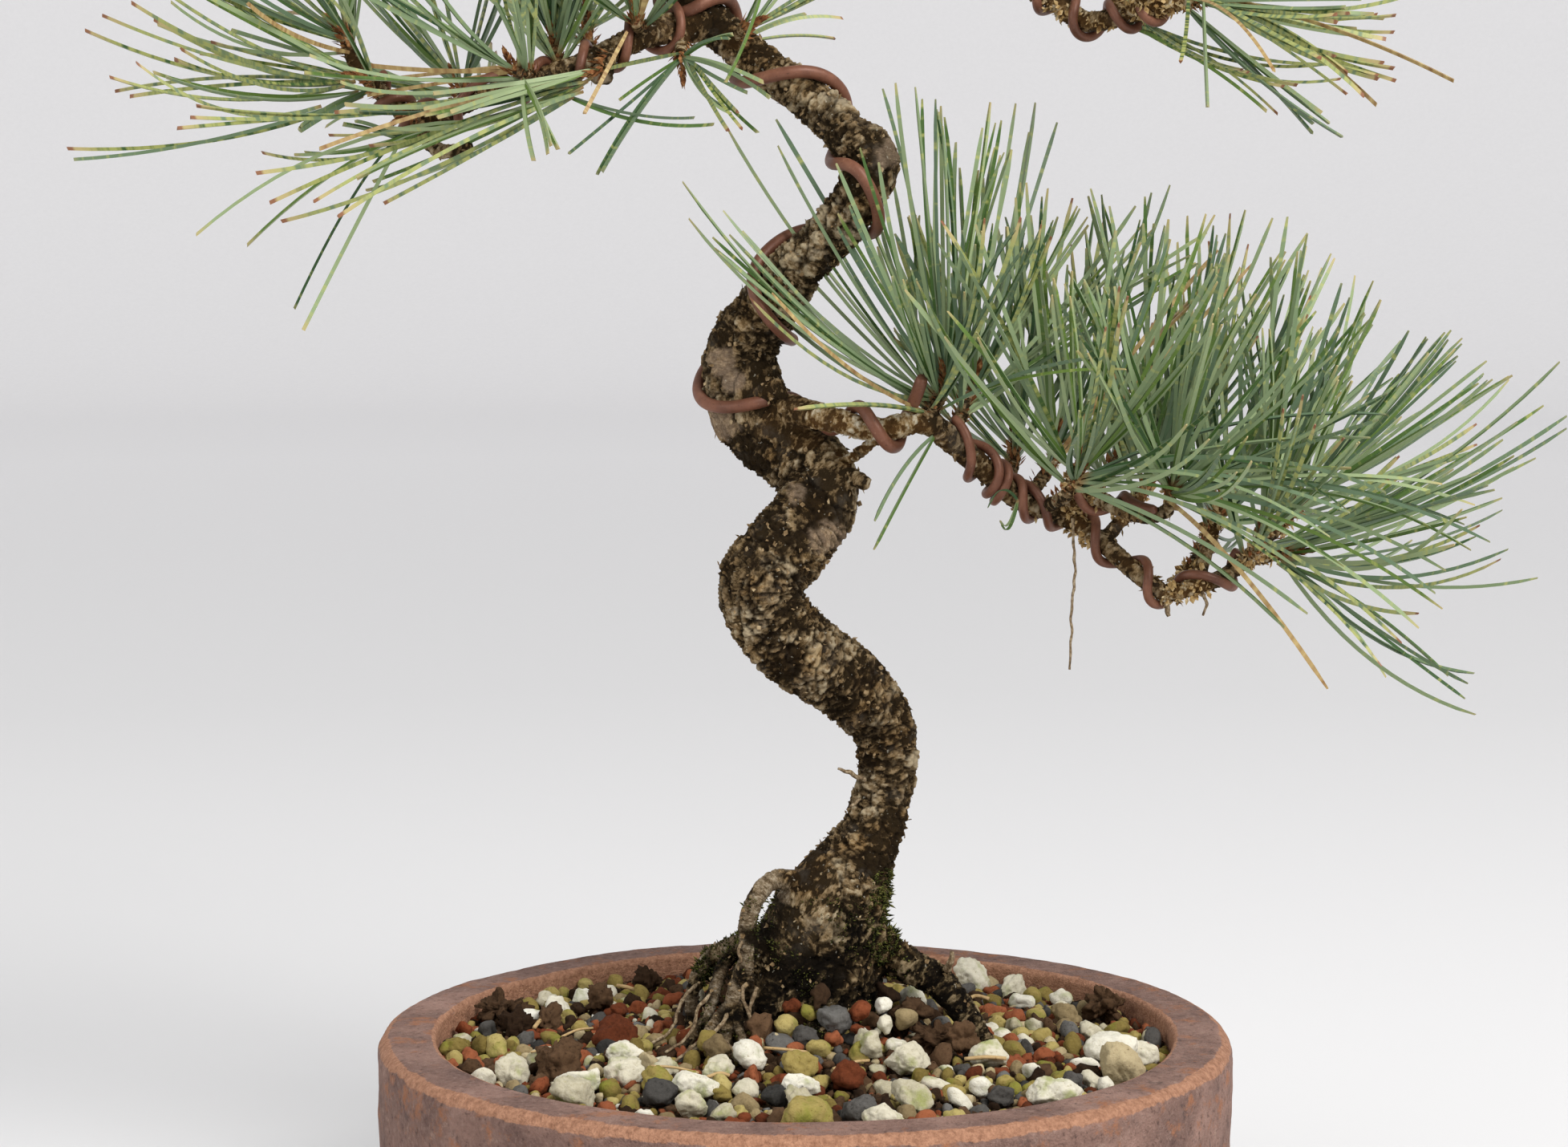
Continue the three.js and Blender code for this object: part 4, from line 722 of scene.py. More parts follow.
# ------------------------------------------------------------------ making pieces of the part
def keep_piece(piece, material, slot, *stands_for):
    """Gives a piece its material and body, and hides the nodes that it stands for. The slot is not used."""
    piece.data.materials.clear()
    piece.data.materials.append(material)
    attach(piece, "root")
    if stands_for:
        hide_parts(*stands_for)
    return piece


# ------------------------------------------------------------------ pot
def quarter_round(centre_radius, centre_height, radius, start, end, steps):
    """Points (radius, height) on an arc from one angle in degrees to another."""
    angles = np.radians(np.linspace(start, end, steps + 1))
    return np.stack([centre_radius + radius * np.cos(angles), centre_height + radius * np.sin(angles)], 1)


def line_points(start, end, step):
    """Points between two others, without them, about `step` mm apart."""
    count = max(1, int(math.dist(start, end) / step))
    return np.linspace(start, end, count + 1)[1:-1]


def pot_profile():
    """The pot's section, from the middle of its underside round to the middle of its floor."""
    foot = POT_RADIUS - 1
    under = quarter_round(foot - FOOT_ROUND, FOOT_ROUND, FOOT_ROUND, -90, 0, 10)
    lip = quarter_round(POT_RADIUS - RIM_ROUND, POT_HEIGHT - RIM_ROUND, RIM_ROUND, 0, 90, 9)
    inner_lip = quarter_round(POT_INSIDE + INNER_RIM_ROUND, POT_HEIGHT - INNER_RIM_ROUND, INNER_RIM_ROUND,
                              90, 180, 5)
    floor = quarter_round(POT_INSIDE - FLOOR_ROUND, POT_FLOOR + FLOOR_ROUND, FLOOR_ROUND, 0, -90, 6)
    rows = [
        line_points((0, 0), under[0], 9), under, line_points(under[-1], lip[0], 1.1), lip,
        line_points(lip[-1], inner_lip[0], 1.0), inner_lip, line_points(inner_lip[-1], floor[0], 4),
        floor, line_points(floor[-1], (0, POT_FLOOR), 9),
    ]
    return np.vstack(rows)


def lathe(profile, segments, low_centre, high_centre):
    """A closed turned body; both ends of the profile close on the axis at the centres' heights."""
    angles = np.linspace(0, 2 * math.pi, segments, endpoint=False)
    radius, height = profile[:, 0][:, None], profile[:, 1][:, None]
    rings = np.stack([radius * np.cos(angles), radius * np.sin(angles), height + 0 * angles], -1)
    vertices = np.vstack([rings.reshape(-1, 3), [[0, 0, low_centre], [0, 0, high_centre]]])
    faces = quads(len(profile), segments)
    low, high = len(vertices) - 2, len(vertices) - 1
    last = (len(profile) - 1) * segments
    for side in range(segments):
        after = (side + 1) % segments
        faces.append((low, after, side))
        faces.append((high, last + side, last + after))
    return vertices, faces


def cutter_cylinder(radius, low, high, x, y):
    mesh = bpy.data.meshes.new("cutter")
    shape = bmesh.new()
    bmesh.ops.create_cone(shape, cap_ends=True, segments=48, radius1=radius * MM, radius2=radius * MM,
                          depth=(high - low) * MM)
    bmesh.ops.translate(shape, verts=shape.verts, vec=Vector((x, y, (low + high) / 2)) * MM)
    shape.to_mesh(mesh)
    shape.free()
    return mesh


def cutter_block(size, centre, angle):
    mesh = bpy.data.meshes.new("cutter")
    shape = bmesh.new()
    bmesh.ops.create_cube(shape, size=1)
    for vertex in shape.verts:
        x, y, z = (vertex.co[axis] * size[axis] + centre[axis] for axis in range(3))
        cos, sin = math.cos(angle), math.sin(angle)
        vertex.co = Vector((x * cos - y * sin, x * sin + y * cos, z)) * MM
    shape.to_mesh(mesh)
    shape.free()
    return mesh


def pot_cutters():
    """The drain holes, the groove from each, and the tie wire's holes and groove."""
    cutters = []
    for index in range(DRAIN_COUNT):
        angle = math.pi / 2 + index * 2 * math.pi / DRAIN_COUNT
        x, y = DRAIN_CIRCLE * math.cos(angle), DRAIN_CIRCLE * math.sin(angle)
        cutters.append(cutter_cylinder(DRAIN_RADIUS, -1, POT_FLOOR + 1, x, y))
        length = POT_RADIUS + 4 - DRAIN_CIRCLE
        centre = (DRAIN_CIRCLE + length / 2, 0, 0)
        cutters.append(cutter_block((length, GROOVE_WIDTH, 2 * GROOVE_DEPTH), centre, angle))
    for side in (-1, 1):
        cutters.append(cutter_cylinder(TIE_HOLE_RADIUS, -1, POT_FLOOR + 1, side * TIE_HALF_SPAN, TIE_OFFSET))
    length = 2 * (TIE_HALF_SPAN + TIE_HOLE_RADIUS)
    cutters.append(cutter_block((length, 2 * TIE_HOLE_RADIUS, 2 * GROOVE_DEPTH), (0, TIE_OFFSET, 0), 0))
    return cutters


def cut_by(piece, meshes):
    """Cuts the meshes out of the piece."""
    tools = []
    for mesh in meshes:
        tool = bpy.data.objects.new("cutter", mesh)
        bpy.context.scene.collection.objects.link(tool)
        cut = piece.modifiers.new("cut", "BOOLEAN")
        cut.operation = "DIFFERENCE"
        cut.solver = "EXACT"
        cut.object = tool
        tools.append(tool)
    apply_modifiers(piece)
    for tool in tools:
        mesh = tool.data
        bpy.data.objects.remove(tool)
        bpy.data.meshes.remove(mesh)


POT_SEGMENTS = 420
# the hand-made wall's unevenness: size across, height and seed of each noise
WALL_SWELLS = [(30, 0.5, 2), (9, 0.3, 3), (3, 0.16, 4)]
RIM_WANDER = 0.35
WALL_PIT_DEPTH = 0.5
RIM_GRAIN = 0.14
WORN_OUTER_EDGE = 3.2
WORN_INNER_EDGE = 1.8


def make_pot():
    """The pot: turned, drilled, then made a little uneven by hand."""
    profile = pot_profile()
    vertices, faces = lathe(profile, POT_SEGMENTS, 0, POT_FLOOR)
    pot = new_object("stoneware_pot", vertices, faces)
    cut_by(pot, pot_cutters())
    mesh = pot.data
    vertices = places_of(mesh)
    reach = np.hypot(vertices[:, 0], vertices[:, 1])
    outward = np.zeros((len(vertices), 3))
    outward[:, :2] = vertices[:, :2] / np.maximum(reach, 1)[:, None]
    high = smooth_step(POT_HEIGHT - 22, POT_HEIGHT - 1, vertices[:, 2])
    outside = smooth_step(POT_RADIUS - 13, POT_RADIUS - 9, reach)
    wall = outside * smooth_step(4, 14, vertices[:, 2])
    vertices[:, 2] += RIM_WANDER * high * noise_at(vertices, 34, 1)
    swell = sum(height * noise_at(vertices, size, seed) for size, height, seed in WALL_SWELLS)
    vertices += outward * (wall * swell)[:, None]
    pits = np.minimum(noise_at(vertices, 2.2, 6) + 0.25, 0)
    vertices += outward * (wall * WALL_PIT_DEPTH * pits)[:, None]
    vertices[:, 2] += RIM_GRAIN * outside * high * noise_at(vertices, 4.5, 7)
    set_places(mesh, vertices)
    from_edge = np.hypot(reach - (POT_RADIUS - 0.8), vertices[:, 2] - (POT_HEIGHT - 0.8))
    from_inner_edge = np.hypot(reach - (POT_INSIDE + 0.4), vertices[:, 2] - (POT_HEIGHT - 0.4))
    edge = 1 - smooth_step(0, WORN_OUTER_EDGE, from_edge)
    inner = 1 - smooth_step(0, WORN_INNER_EDGE, from_inner_edge)
    inside = (reach < POT_INSIDE + 0.5) & (vertices[:, 2] < POT_HEIGHT - 1)
    add_attribute(mesh, "wear", np.clip(edge + 0.9 * inner + 0.55 * inside, 0, 1))
    return keep_piece(pot, stoneware_material(), "pot", "pot")


# ------------------------------------------------------------------ wood
BURIED_ROOT_COUNT = 6
BURIED_ROOT = [(4, 50, 5), (20, 44, 3.6), (38, 36, 2.4), (56, 30, 1.2)]  # reach, height, radius


def buried_root(index):
    """The stations of one of the roots inside the soil."""
    angle = (index + 0.25) * 2 * math.pi / BURIED_ROOT_COUNT
    return [[reach * math.cos(angle), reach * math.sin(angle), z, radius] for reach, z, radius in BURIED_ROOT]


# spots on the bark seen from the front: [x, z, radius] in mm
SCARS = [[5, 168, 4.6], [-18, 203, 4], [-15, 199, 3.2], [-18, 190, 4.6], [18, 247, 4], [-2, 177, 2.5]]
LIGHT_SPOTS = [
    [7, 96, 5], [4, 86, 6], [12, 113, 6], [21, 119, 4], [1.5, 136.5, 4], [3, 145, 4.5], [18, 135, 3.5],
    [-11, 151, 5], [-4, 160, 6], [-3.5, 224, 8], [4, 232, 7], [-8, 214, 5], [5, 258, 6], [-2, 263, 5],
    [12, 128, 5],
]
DARK_SPOTS = [
    [3.6, 175.5, 7], [13, 139, 5], [9, 131, 5], [19, 105, 6], [14, 99, 5], [2, 98, 5], [-8, 86, 8],
    [1, 79, 9], [-5, 141, 5], [-12, 184, 6], [13, 243, 6], [-8, 170, 4], [-8, 196, 5], [6, 222, 5],
    [-20, 275, 8],
]
# cream-coloured thin wood: [x, y, z, radius] in mm
CREAM_WOOD = [
    [4, -6, 192, 5], [9, -9, 191, 6], [15, -10, 190, 6], [21, -9, 190, 6], [9, -3, 183, 4], [14, -6, 187, 4],
    [18, -10, 190, 4],
]
# sawn ends: [x, y, z, radius] in mm
CUTS = [
    [18.5, -10, 190.5, 1.8], [-41.5, -10.5, 261.5, 2.2], [27, -9.5, 77, 3.2], [16.8, -8, 241.5, 2.4],
]
# where bending has wrinkled the bark: [x, z, radius] in mm
WRINKLES = [[-3, 158, 14], [4, 168, 9], [0, 176, 5], [12, 128, 12], [-4, 146, 8]]

KINDS = {"trunk": 0, "root": 1, "branch": 2, "stub": 3, "twig": 4}


def all_limbs():
    limbs = [("trunk", TRUNK)]
    limbs += [("root", stations) for stations in ROOTS]
    limbs += [("root", buried_root(index)) for index in range(BURIED_ROOT_COUNT)]
    limbs += [("branch", stations) for stations in (RIGHT_BRANCH, MIDDLE_TWIG, LEFT_BRANCH, UPPER_BRANCH)]
    limbs += [("stub", stations) for stations in STUBS]
    limbs += [("twig", shoot[1]) for shoot in SHOOTS]
    return limbs


# sizes of the bark's features in mm
BARK_PLATE = 4.2
BARK_FLAKE = 1.35
BARK_RIDGE = 3.4
BARK_FOLD = 1.7
BARK_GRAIN = 0.9
SWELL = 6
OLD_BARK_RADII = (2.4, 6)  # where thin, papery bark has turned to thick old bark
DAMP_HEIGHTS = (99, 72)  # from dry to wet bark over the soil


def near(vertices, spots_list, wobble):
    """How far each vertex is inside any of the spots, 0 to 1."""
    result = np.zeros(len(vertices))
    for *centre, radius in spots_list:
        away = np.linalg.norm(vertices - centre, axis=1) / radius + wobble
        result = np.maximum(result, 1 - smooth_step(0.6, 1.0, away))
    return result


def bark_cells(places, size, seed):
    """Plates of bark: (how near each vertex is to a crack, its plate's own number from 0 to 1)."""
    offset = Vector((seed, seed * 2, seed * 3))
    crack = np.empty(len(places))
    own = np.empty(len(places))
    for index, place in enumerate(places):
        distances, points = noise.voronoi(Vector(place) / size + offset)
        crack[index] = distances[1] - distances[0]
        own[index] = noise.cell(points[0] * 31.7)
    return 1 - smooth_step(0.02, 0.2, crack), own


WOOD_VOXEL = 0.42
WOOD_SMOOTHINGS = 3


def wood_body():
    """All limbs run together: (the mesh object, middle-line points, their radii, kinds and bark frames)."""
    parts = []
    lines = {"point": [], "radius": [], "kind": [], "heading": [], "across": [], "arc": []}
    for number, (kind, stations) in enumerate(all_limbs()):
        points, radii, _ = fine_limb(stations)
        sides = 36 if kind == "trunk" else 20 if radii.max() > 2.6 else 12
        parts.append(tube(points, radii, sides))
        across, _ = ring_frames(points)
        lines["point"].append(points)
        lines["radius"].append(radii)
        lines["kind"].append(np.full(len(points), KINDS[kind]))
        lines["heading"].append(unit(np.gradient(points, axis=0)))
        lines["across"].append(across)
        steps = np.linalg.norm(np.diff(points, axis=0), axis=1)
        lines["arc"].append(np.concatenate([[0], np.cumsum(steps)]) + 53 * number)
    body = new_object("pine_wood", *gather(parts))
    remesh = body.modifiers.new("remesh", "REMESH")
    remesh.mode = "VOXEL"
    remesh.voxel_size = WOOD_VOXEL * MM
    remesh.use_smooth_shade = True
    relax = body.modifiers.new("relax", "SMOOTH")
    relax.factor = 0.5
    relax.iterations = WOOD_SMOOTHINGS
    apply_modifiers(body)
    return body, {key: np.concatenate(rows) for key, rows in lines.items()}


def bark_frame(vertices, nearest, lines):
    """Each vertex in its limb's own frame: along the limb, and its two offsets from the middle line."""
    offset = vertices - lines["point"][nearest]
    heading = lines["heading"][nearest]
    across = lines["across"][nearest]
    third = np.cross(heading, across)
    along = lines["arc"][nearest] + (offset * heading).sum(1)
    return np.stack([along, (offset * across).sum(1), (offset * third).sum(1)], 1)


def make_tree():
    """The wood, its bark moved into the mesh, and what the material reads at each vertex."""
    tree, lines = wood_body()
    mesh = tree.data
    vertices = places_of(mesh)
    normals = normals_of(mesh)
    nearest = nearest_axis(vertices, lines["point"], lines["radius"])
    radius = lines["radius"][nearest]
    kind = lines["kind"][nearest]
    place = bark_frame(vertices, nearest, lines)

    wobble = 0.3 * noise_at(vertices, 2.6, 1) + 0.15 * noise_at(vertices, 1.1, 2)
    seen = vertices[:, [0, 2]]
    front = smooth_step(0.35, -0.1, normals[:, 1])
    scar = near(seen, SCARS, wobble) * front
    light = near(seen, LIGHT_SPOTS, wobble) * front
    dark = near(seen, DARK_SPOTS, wobble) * front
    cut = near(vertices, CUTS, 0.3 * wobble)
    wrinkled = near(seen, WRINKLES, wobble) * smooth_step(1, -0.2, normals[:, 1])
    old = smooth_step(*OLD_BARK_RADII, radius)
    thin = (kind >= KINDS["branch"]) & (kind != KINDS["stub"])
    papery = smooth_step(4.6, 2.6, radius) * thin
    papery *= np.clip(smooth_step(-0.35, 0.1, noise_at(vertices, 9, 6)), 0, 1)
    papery *= np.where(vertices[:, 0] > 46, 1.0, 0.4)
    cream = near(vertices, CREAM_WOOD, 0.4 * wobble)
    papery = np.maximum(papery, cream)
    rough = (1 - 0.8 * scar) * (1 - 0.9 * cut)

    ridge = np.abs(noise_at(place * [2.6, 1, 1], BARK_RIDGE, 11))
    fold = np.abs(noise_at(place * [1.0, 0.28, 0.28], BARK_FOLD, 15))
    crack, plate = bark_cells(place * [1.3, 1, 1], BARK_PLATE, 5)
    small_crack, flake = bark_cells(place * [1.7, 1, 1], BARK_FLAKE, 9)
    scaly = smooth_step(2.0, 3.0, radius) * 0.5 + 0.5
    lift = 0.5 * noise_at(vertices, SWELL, 3) * old
    lift += rough * old * (0.3 * (plate - 0.5) - 0.35 * crack + 0.34 * (0.22 - ridge))
    lift += rough * (0.14 + 0.2 * old + 0.22 * papery * scaly) * (flake - 0.5)
    lift -= rough * (0.05 + 0.1 * old) * small_crack
    lift += rough * (0.08 + 0.3 * old) * noise_at(place * [1.6, 1, 1], BARK_GRAIN, 4)
    lift -= 0.75 * wrinkled * old * np.maximum(0.2 - fold, 0) / 0.2
    set_places(mesh, vertices + normals * lift[:, None])

    pale = (kind == KINDS["root"]) * smooth_step(3.2, 2.4, radius) * (vertices[:, 0] < -3)
    pale = pale * smooth_step(-0.35, 0.1, noise_at(vertices, 5, 17)) * front
    pale = pale * ((vertices[:, 0] < -10.5) | (vertices[:, 2] > 86))
    damp = smooth_step(*DAMP_HEIGHTS, vertices[:, 2] + 16 * noise_at(vertices, 11, 7))
    damp *= (1 - 0.8 * light) * (1 - 0.85 * pale)
    # painted shade: the creases along the wrinkles' folds are darkened where shade falls in them
    fold_crease_shade = wrinkled * np.maximum(0.12 - fold, 0) / 0.12
    shade = 0.5 + 0.35 * (plate - 0.5) + 0.5 * (flake - 0.5) - 0.6 * (ridge - 0.2)
    shade += 0.36 * light - 0.5 * dark + 0.3 * cream
    # the cracks' darkness is partly the bark's own dark fissures and partly painted shade; the creases'
    # darkness is painted shade
    crack_colour_and_crease_shade = rough * (0.75 * crack * old + 0.3 * small_crack) + 0.8 * fold_crease_shade
    values = {
        "shade": shade, "crack": np.clip(crack_colour_and_crease_shade, 0, 1), "papery": papery, "scar": scar, "cut": cut,
        "pale": pale, "damp": 0.94 * damp,
    }
    for name, value in values.items():
        add_attribute(mesh, name, value)
    frame_attribute = mesh.attributes.new("bark_place", "FLOAT_VECTOR", "POINT")
    frame_attribute.data.foreach_set("vector", place.astype(np.float32).ravel())
    return keep_piece(tree, bark_material(), "bark", "tree")


def nearest_axis(vertices, points, radii):
    """For each vertex, the middle-line point whose bark is nearest."""
    lookup = KDTree(len(points))
    for index, point in enumerate(points):
        lookup.insert(point, index)
    lookup.balance()
    result = np.empty(len(vertices), int)
    for index, vertex in enumerate(vertices):
        found = lookup.find_n(vertex, 8)
        result[index] = min(found, key=lambda hit: hit[2] - radii[hit[1]])[1]
    return result


def blade(root, tip, side, thickness):
    """A small pointed leaf of bark, scale or moss: (vertices, faces)."""
    bulge = root * 0.45 + tip * 0.55
    other = unit(np.cross(side, tip - root)) * thickness
    corners = [root, bulge + side, bulge - side, bulge + other, tip]
    return corners, [(0, 1, 3), (0, 3, 2), (0, 2, 1), (4, 3, 1), (4, 2, 3), (4, 1, 2)]


def flakes_on(tree, chance, choice, count, smallest, largest, lift):
    """Loose shards on randomly chosen vertices, lifted off the bark by `lift` of their length."""
    vertices, normals = places_of(tree.data)[choice], normals_of(tree.data)[choice]
    parts = []
    for _ in range(count):
        index = chance.randrange(len(vertices))
        place, normal = vertices[index], normals[index]
        along = unit(np.array([chance.gauss(0, 1), chance.gauss(0, 1), chance.gauss(0, 1.4)]))
        along = unit(along - normal * along.dot(normal))
        size = chance.uniform(smallest, largest)
        tip = place + along * size + normal * size * chance.uniform(*lift)
        side = unit(np.cross(normal, along)) * size * chance.uniform(0.25, 0.5)
        parts.append(blade(place - normal * 0.2, tip, side, 0.16))
    return parts


OLD_FLAKE_COUNT = 2400
PAPERY_FLAKE_COUNT = 2000


def make_flakes(tree):
    """Loose shards of bark that break the outline, dark on old wood and golden on thin wood."""
    chance = random.Random(4)
    across, _, height = places_of(tree.data).T
    papery = np.empty(len(height), np.float32)
    tree.data.attributes["papery"].data.foreach_get("value", papery)
    dark = flakes_on(tree, chance, height > 66, OLD_FLAKE_COUNT, 0.5, 1.5, (0.15, 0.6))
    flakes = new_object("bark_flakes", *gather(dark), smooth=False)
    old_look = scale_material("loose_bark", (0.07, 0.04, 0.016), (0.19, 0.125, 0.06), (0.38, 0.29, 0.17))
    keep_piece(flakes, old_look, "bark")
    ruffled = (papery > 0.7) & ((across > 46) | (across < -26))
    golden = flakes_on(tree, chance, ruffled, PAPERY_FLAKE_COUNT, 0.6, 1.7, (0.3, 1.0))
    scales = new_object("papery_scales", *gather(golden), smooth=False)
    papery_look = scale_material("papery_bark", (0.14, 0.07, 0.022), (0.38, 0.25, 0.10), (0.62, 0.50, 0.30))
    keep_piece(scales, papery_look, "bark")


TWIG_SCALES = 46
BUD_SCALES = 16
SCALE_TURN = 2.4  # the golden angle, in radians
BUD_RADIUS = 1.25


def make_buds():
    """The dry scales round each shoot's end, with a pointed bud among its needles."""
    chance = random.Random(9)
    parts = []
    for _, twig, heading, _, _ in SHOOTS:
        points, radii, _ = fine_limb(twig, 0.4)
        axis, first, second = frame_round(np.array(heading, float))
        for number in range(TWIG_SCALES):
            back = int(len(points) * 0.75 * (number / TWIG_SCALES) ** 1.2)
            middle, radius = points[-1 - back], radii[-1 - back]
            turn = number * SCALE_TURN + chance.uniform(-0.3, 0.3)
            spoke = first * math.cos(turn) + second * math.sin(turn)
            root = middle + spoke * radius * 0.8
            lean = axis * chance.uniform(0.5, 1.2) + spoke * chance.uniform(0.3, 0.9)
            tip = root + lean * chance.uniform(1.2, 2.6)
            side = unit(np.cross(spoke, axis)) * chance.uniform(0.3, 0.6)
            parts.append(blade(root, tip, side, 0.15))
        length = chance.uniform(4.5, 8)
        for number in range(BUD_SCALES):
            part = number / BUD_SCALES
            turn = number * SCALE_TURN
            spoke = first * math.cos(turn) + second * math.sin(turn)
            thick = BUD_RADIUS * (1 - part) ** 0.8 + 0.1
            root = points[-1] + axis * length * part * 0.8 + spoke * thick * 0.3
            tip = root + axis * 2.4 + spoke * thick * 0.75
            parts.append(blade(root, tip, unit(np.cross(spoke, axis)) * 0.55, 0.2))
    buds = new_object("bud_scales", *gather(parts), smooth=False)
    bud_look = scale_material("bud_scale", (0.07, 0.026, 0.010), (0.21, 0.078, 0.026), (0.40, 0.22, 0.09))
    return keep_piece(buds, bud_look, "bark")


# fine roots and dry twiglets: stations [x, y, z, radius]
ROOTLETS = [
    [[-13, -12.6, 76, 0.5], [-12.6, -14.5, 71, 0.4], [-10.5, -15.5, 66, 0.35], [-9.5, -17, 60, 0.3]],
    [[-15.5, -14.5, 69, 0.5], [-18, -17.5, 66, 0.45], [-22, -20, 63.5, 0.4], [-27, -22, 60, 0.3]],
    [[-16.6, -14.6, 63, 0.45], [-15.5, -18, 62, 0.4], [-13, -21, 60, 0.3]],
    [[-19, -9, 72, 0.5], [-22, -11, 69, 0.4], [-24, -14, 64, 0.35], [-29, -16, 60.5, 0.3]],
    [[-22.5, 1.5, 71.5, 0.5], [-26, -2, 68, 0.4], [-28, -5, 63, 0.35], [-33, -8, 60, 0.3]],
    [[-12, -10.5, 84, 0.4], [-13.5, -12.6, 82, 0.35], [-13.2, -13, 79, 0.3]],
    [[-10, -10, 73, 0.5], [-11.5, -14, 68, 0.4], [-8, -17.5, 63, 0.35], [-6, -19, 60, 0.3]],
    [[82.5, -6, 156, 0.45], [83.4, -6.5, 153.4, 0.35], [82.6, -7, 151, 0.25]],
    [[75, -6, 154.5, 0.7], [75.2, -6.4, 152.4, 0.55], [75.6, -6.6, 150.8, 0.45]],
    [[15.5, 2, 113, 0.5], [9.5, -4, 117.5, 0.5], [7, -5.5, 118.6, 0.25]],
    [[12, -1, 111.5, 0.4], [9.6, -4.5, 110.4, 0.3]],
    [[30, -7, 76, 0.9], [30.6, -8.4, 78.5, 0.7], [30.8, -8.8, 80.5, 0.35]],
    [[55, -13, 172, 0.3], [55.3, -15, 160, 0.3], [54.8, -15.6, 151, 0.28], [54.4, -16, 141, 0.24]],
]


def make_rootlets():
    """The rootlets, wandering a little between their ends."""
    parts = []
    for stations in ROOTLETS:
        points, radii, _ = fine_limb(stations, 0.35)
        wander = np.stack([noise_at(points, 2.1, seed) for seed in (1, 2, 3)], 1)
        fade = np.sin(np.linspace(0, math.pi, len(points)))[:, None]
        parts.append(tube(points + 0.5 * wander * fade, radii * (1 + 0.25 * noise_at(points, 0.9, 4)), 8))
    rootlets = new_object("rootlets", *gather(parts))
    look = Look("fine_roots", specular=0.2)
    fine = look.spots(0.9, detail=4, rough=0.7)
    colour = look.ramp(fine, (0.35, (0.06, 0.038, 0.02)), (0.5, (0.18, 0.125, 0.07)),
                       (0.65, (0.36, 0.29, 0.19)))
    return keep_piece(rootlets, look.finish(colour, None, look.bump(fine, 0.15)), "bark")


# ------------------------------------------------------------------ wires
RIGHT, BACK, FRONT, UP = (np.array(axis, float) for axis in ((1, 0, 0), (0, 1, 0), (0, -1, 0), (0, 0, 1)))
STEPS_PER_TURN = 16


def winding(stations, route, wire_radius, zero, quarter):
    """Points of a wire wound on a limb, through stations [place, turns], as in the CAD."""
    stations = np.asarray(stations, float)
    points = []
    for (start_place, start_turns), (end_place, end_turns) in zip(route, route[1:]):
        steps = max(1, round(abs(end_turns - start_turns) * STEPS_PER_TURN))
        for step in range(1 if points else 0, steps + 1):
            place = start_place + (end_place - start_place) * step / steps
            turns = start_turns + (end_turns - start_turns) * step / steps
            middle, ahead = catmull(stations[:, :3], [place, place + 0.01])
            heading = unit(ahead - middle)
            first = unit(zero - heading * zero.dot(heading))
            second = quarter - heading * quarter.dot(heading)
            second = unit(second - first * second.dot(first))
            reach = np.interp(place, np.arange(len(stations)), stations[:, 3]) + wire_radius + WIRE_STAND
            angle = 2 * math.pi * turns
            points.append(middle + reach * (first * math.cos(angle) + second * math.sin(angle)))
    return points


def trunk_wire_route():
    on_trunk = [
        [35.3, -2.5], [34, -2], [32.5, -1.5], [31.2, -1], [30, -0.5], [28.9, 0], [27.4, 0.5], [25.7, 1],
        [24.6, 1.5], [22.4, 2], [20.5, 2.5], [19.8, 3], [18, 3.5], [16.5, 3.95],
    ]
    on_branch = [[1.6, -0.45], [2.4, 0], [2.9, 0.25], [3.2, 0.5], [3.7, 0.8]]
    return [
        *winding(TRUNK, on_trunk, TRUNK_WIRE_RADIUS, RIGHT, BACK),
        *winding(RIGHT_BRANCH, on_branch, TRUNK_WIRE_RADIUS, UP, FRONT),
        np.array([23, -13, 195.0]),
        np.array([24, -14, 201.0]),
    ]


def branch_wire_routes():
    radius = BRANCH_WIRE_RADIUS
    on_right = [
        [4.75, 0], [5.5, 0.3], [5.8, 0.6], [6.1, 1], [6.4, 1.3], [7, 1.95], [7.55, 2.25], [8, 2.6], [8.6, 3],
        [9, 3.3], [9.8, 4], [10.3, 4.25], [10.9, 4.6], [11.8, 5], [12.7, 5.25], [13.3, 5.5], [14, 5.9],
    ]
    to_middle = [[5.3, -0.2], [6.1, 0.25], [6.6, 0.9], [7.1, 1.3], [7.7, 1.75]]
    on_middle = [[0.5, -0.25], [0.8, 0], [1.1, 0.25], [1.6, 0.6], [2.2, 1], [3, 1.15], [3.8, 1.2]]
    on_left = [
        [0.9, 0], [1.2, 0.25], [1.6, 0.6], [2.2, 1], [2.7, 1.3], [3.3, 2], [3.7, 2.25], [4.3, 3], [4.7, 3.3],
        [5.4, 4], [6.3, 4.25], [6.8, 4.6], [7.4, 5], [8, 5.3], [8.6, 6], [9.2, 6.4], [10, 7],
    ]
    on_upper = [
        [1.5, 0], [2.3, 1], [3.1, 2], [3.9, 3], [4.7, 4], [5.5, 5], [6.2, 5.6], [7, 6.3], [7.8, 7.3],
        [8.4, 8],
    ]
    return {
        "right_branch_wire": winding(RIGHT_BRANCH, on_right, radius, UP, FRONT),
        "middle_twig_wire": [
            *winding(RIGHT_BRANCH, to_middle, radius, UP, FRONT),
            *winding(MIDDLE_TWIG, on_middle, radius, UP, FRONT),
        ],
        "left_branch_wire": winding(LEFT_BRANCH, on_left, radius, UP, FRONT),
        "upper_branch_wire": winding(UPPER_BRANCH, on_upper, radius, UP, FRONT),
    }


def relaxed(points, passes=2):
    """The same route with its corners eased."""
    points = np.array(points)
    for _ in range(passes):
        points[1:-1] = 0.25 * points[:-2] + 0.5 * points[1:-1] + 0.25 * points[2:]
    return points


WIRE_SIDES = 18


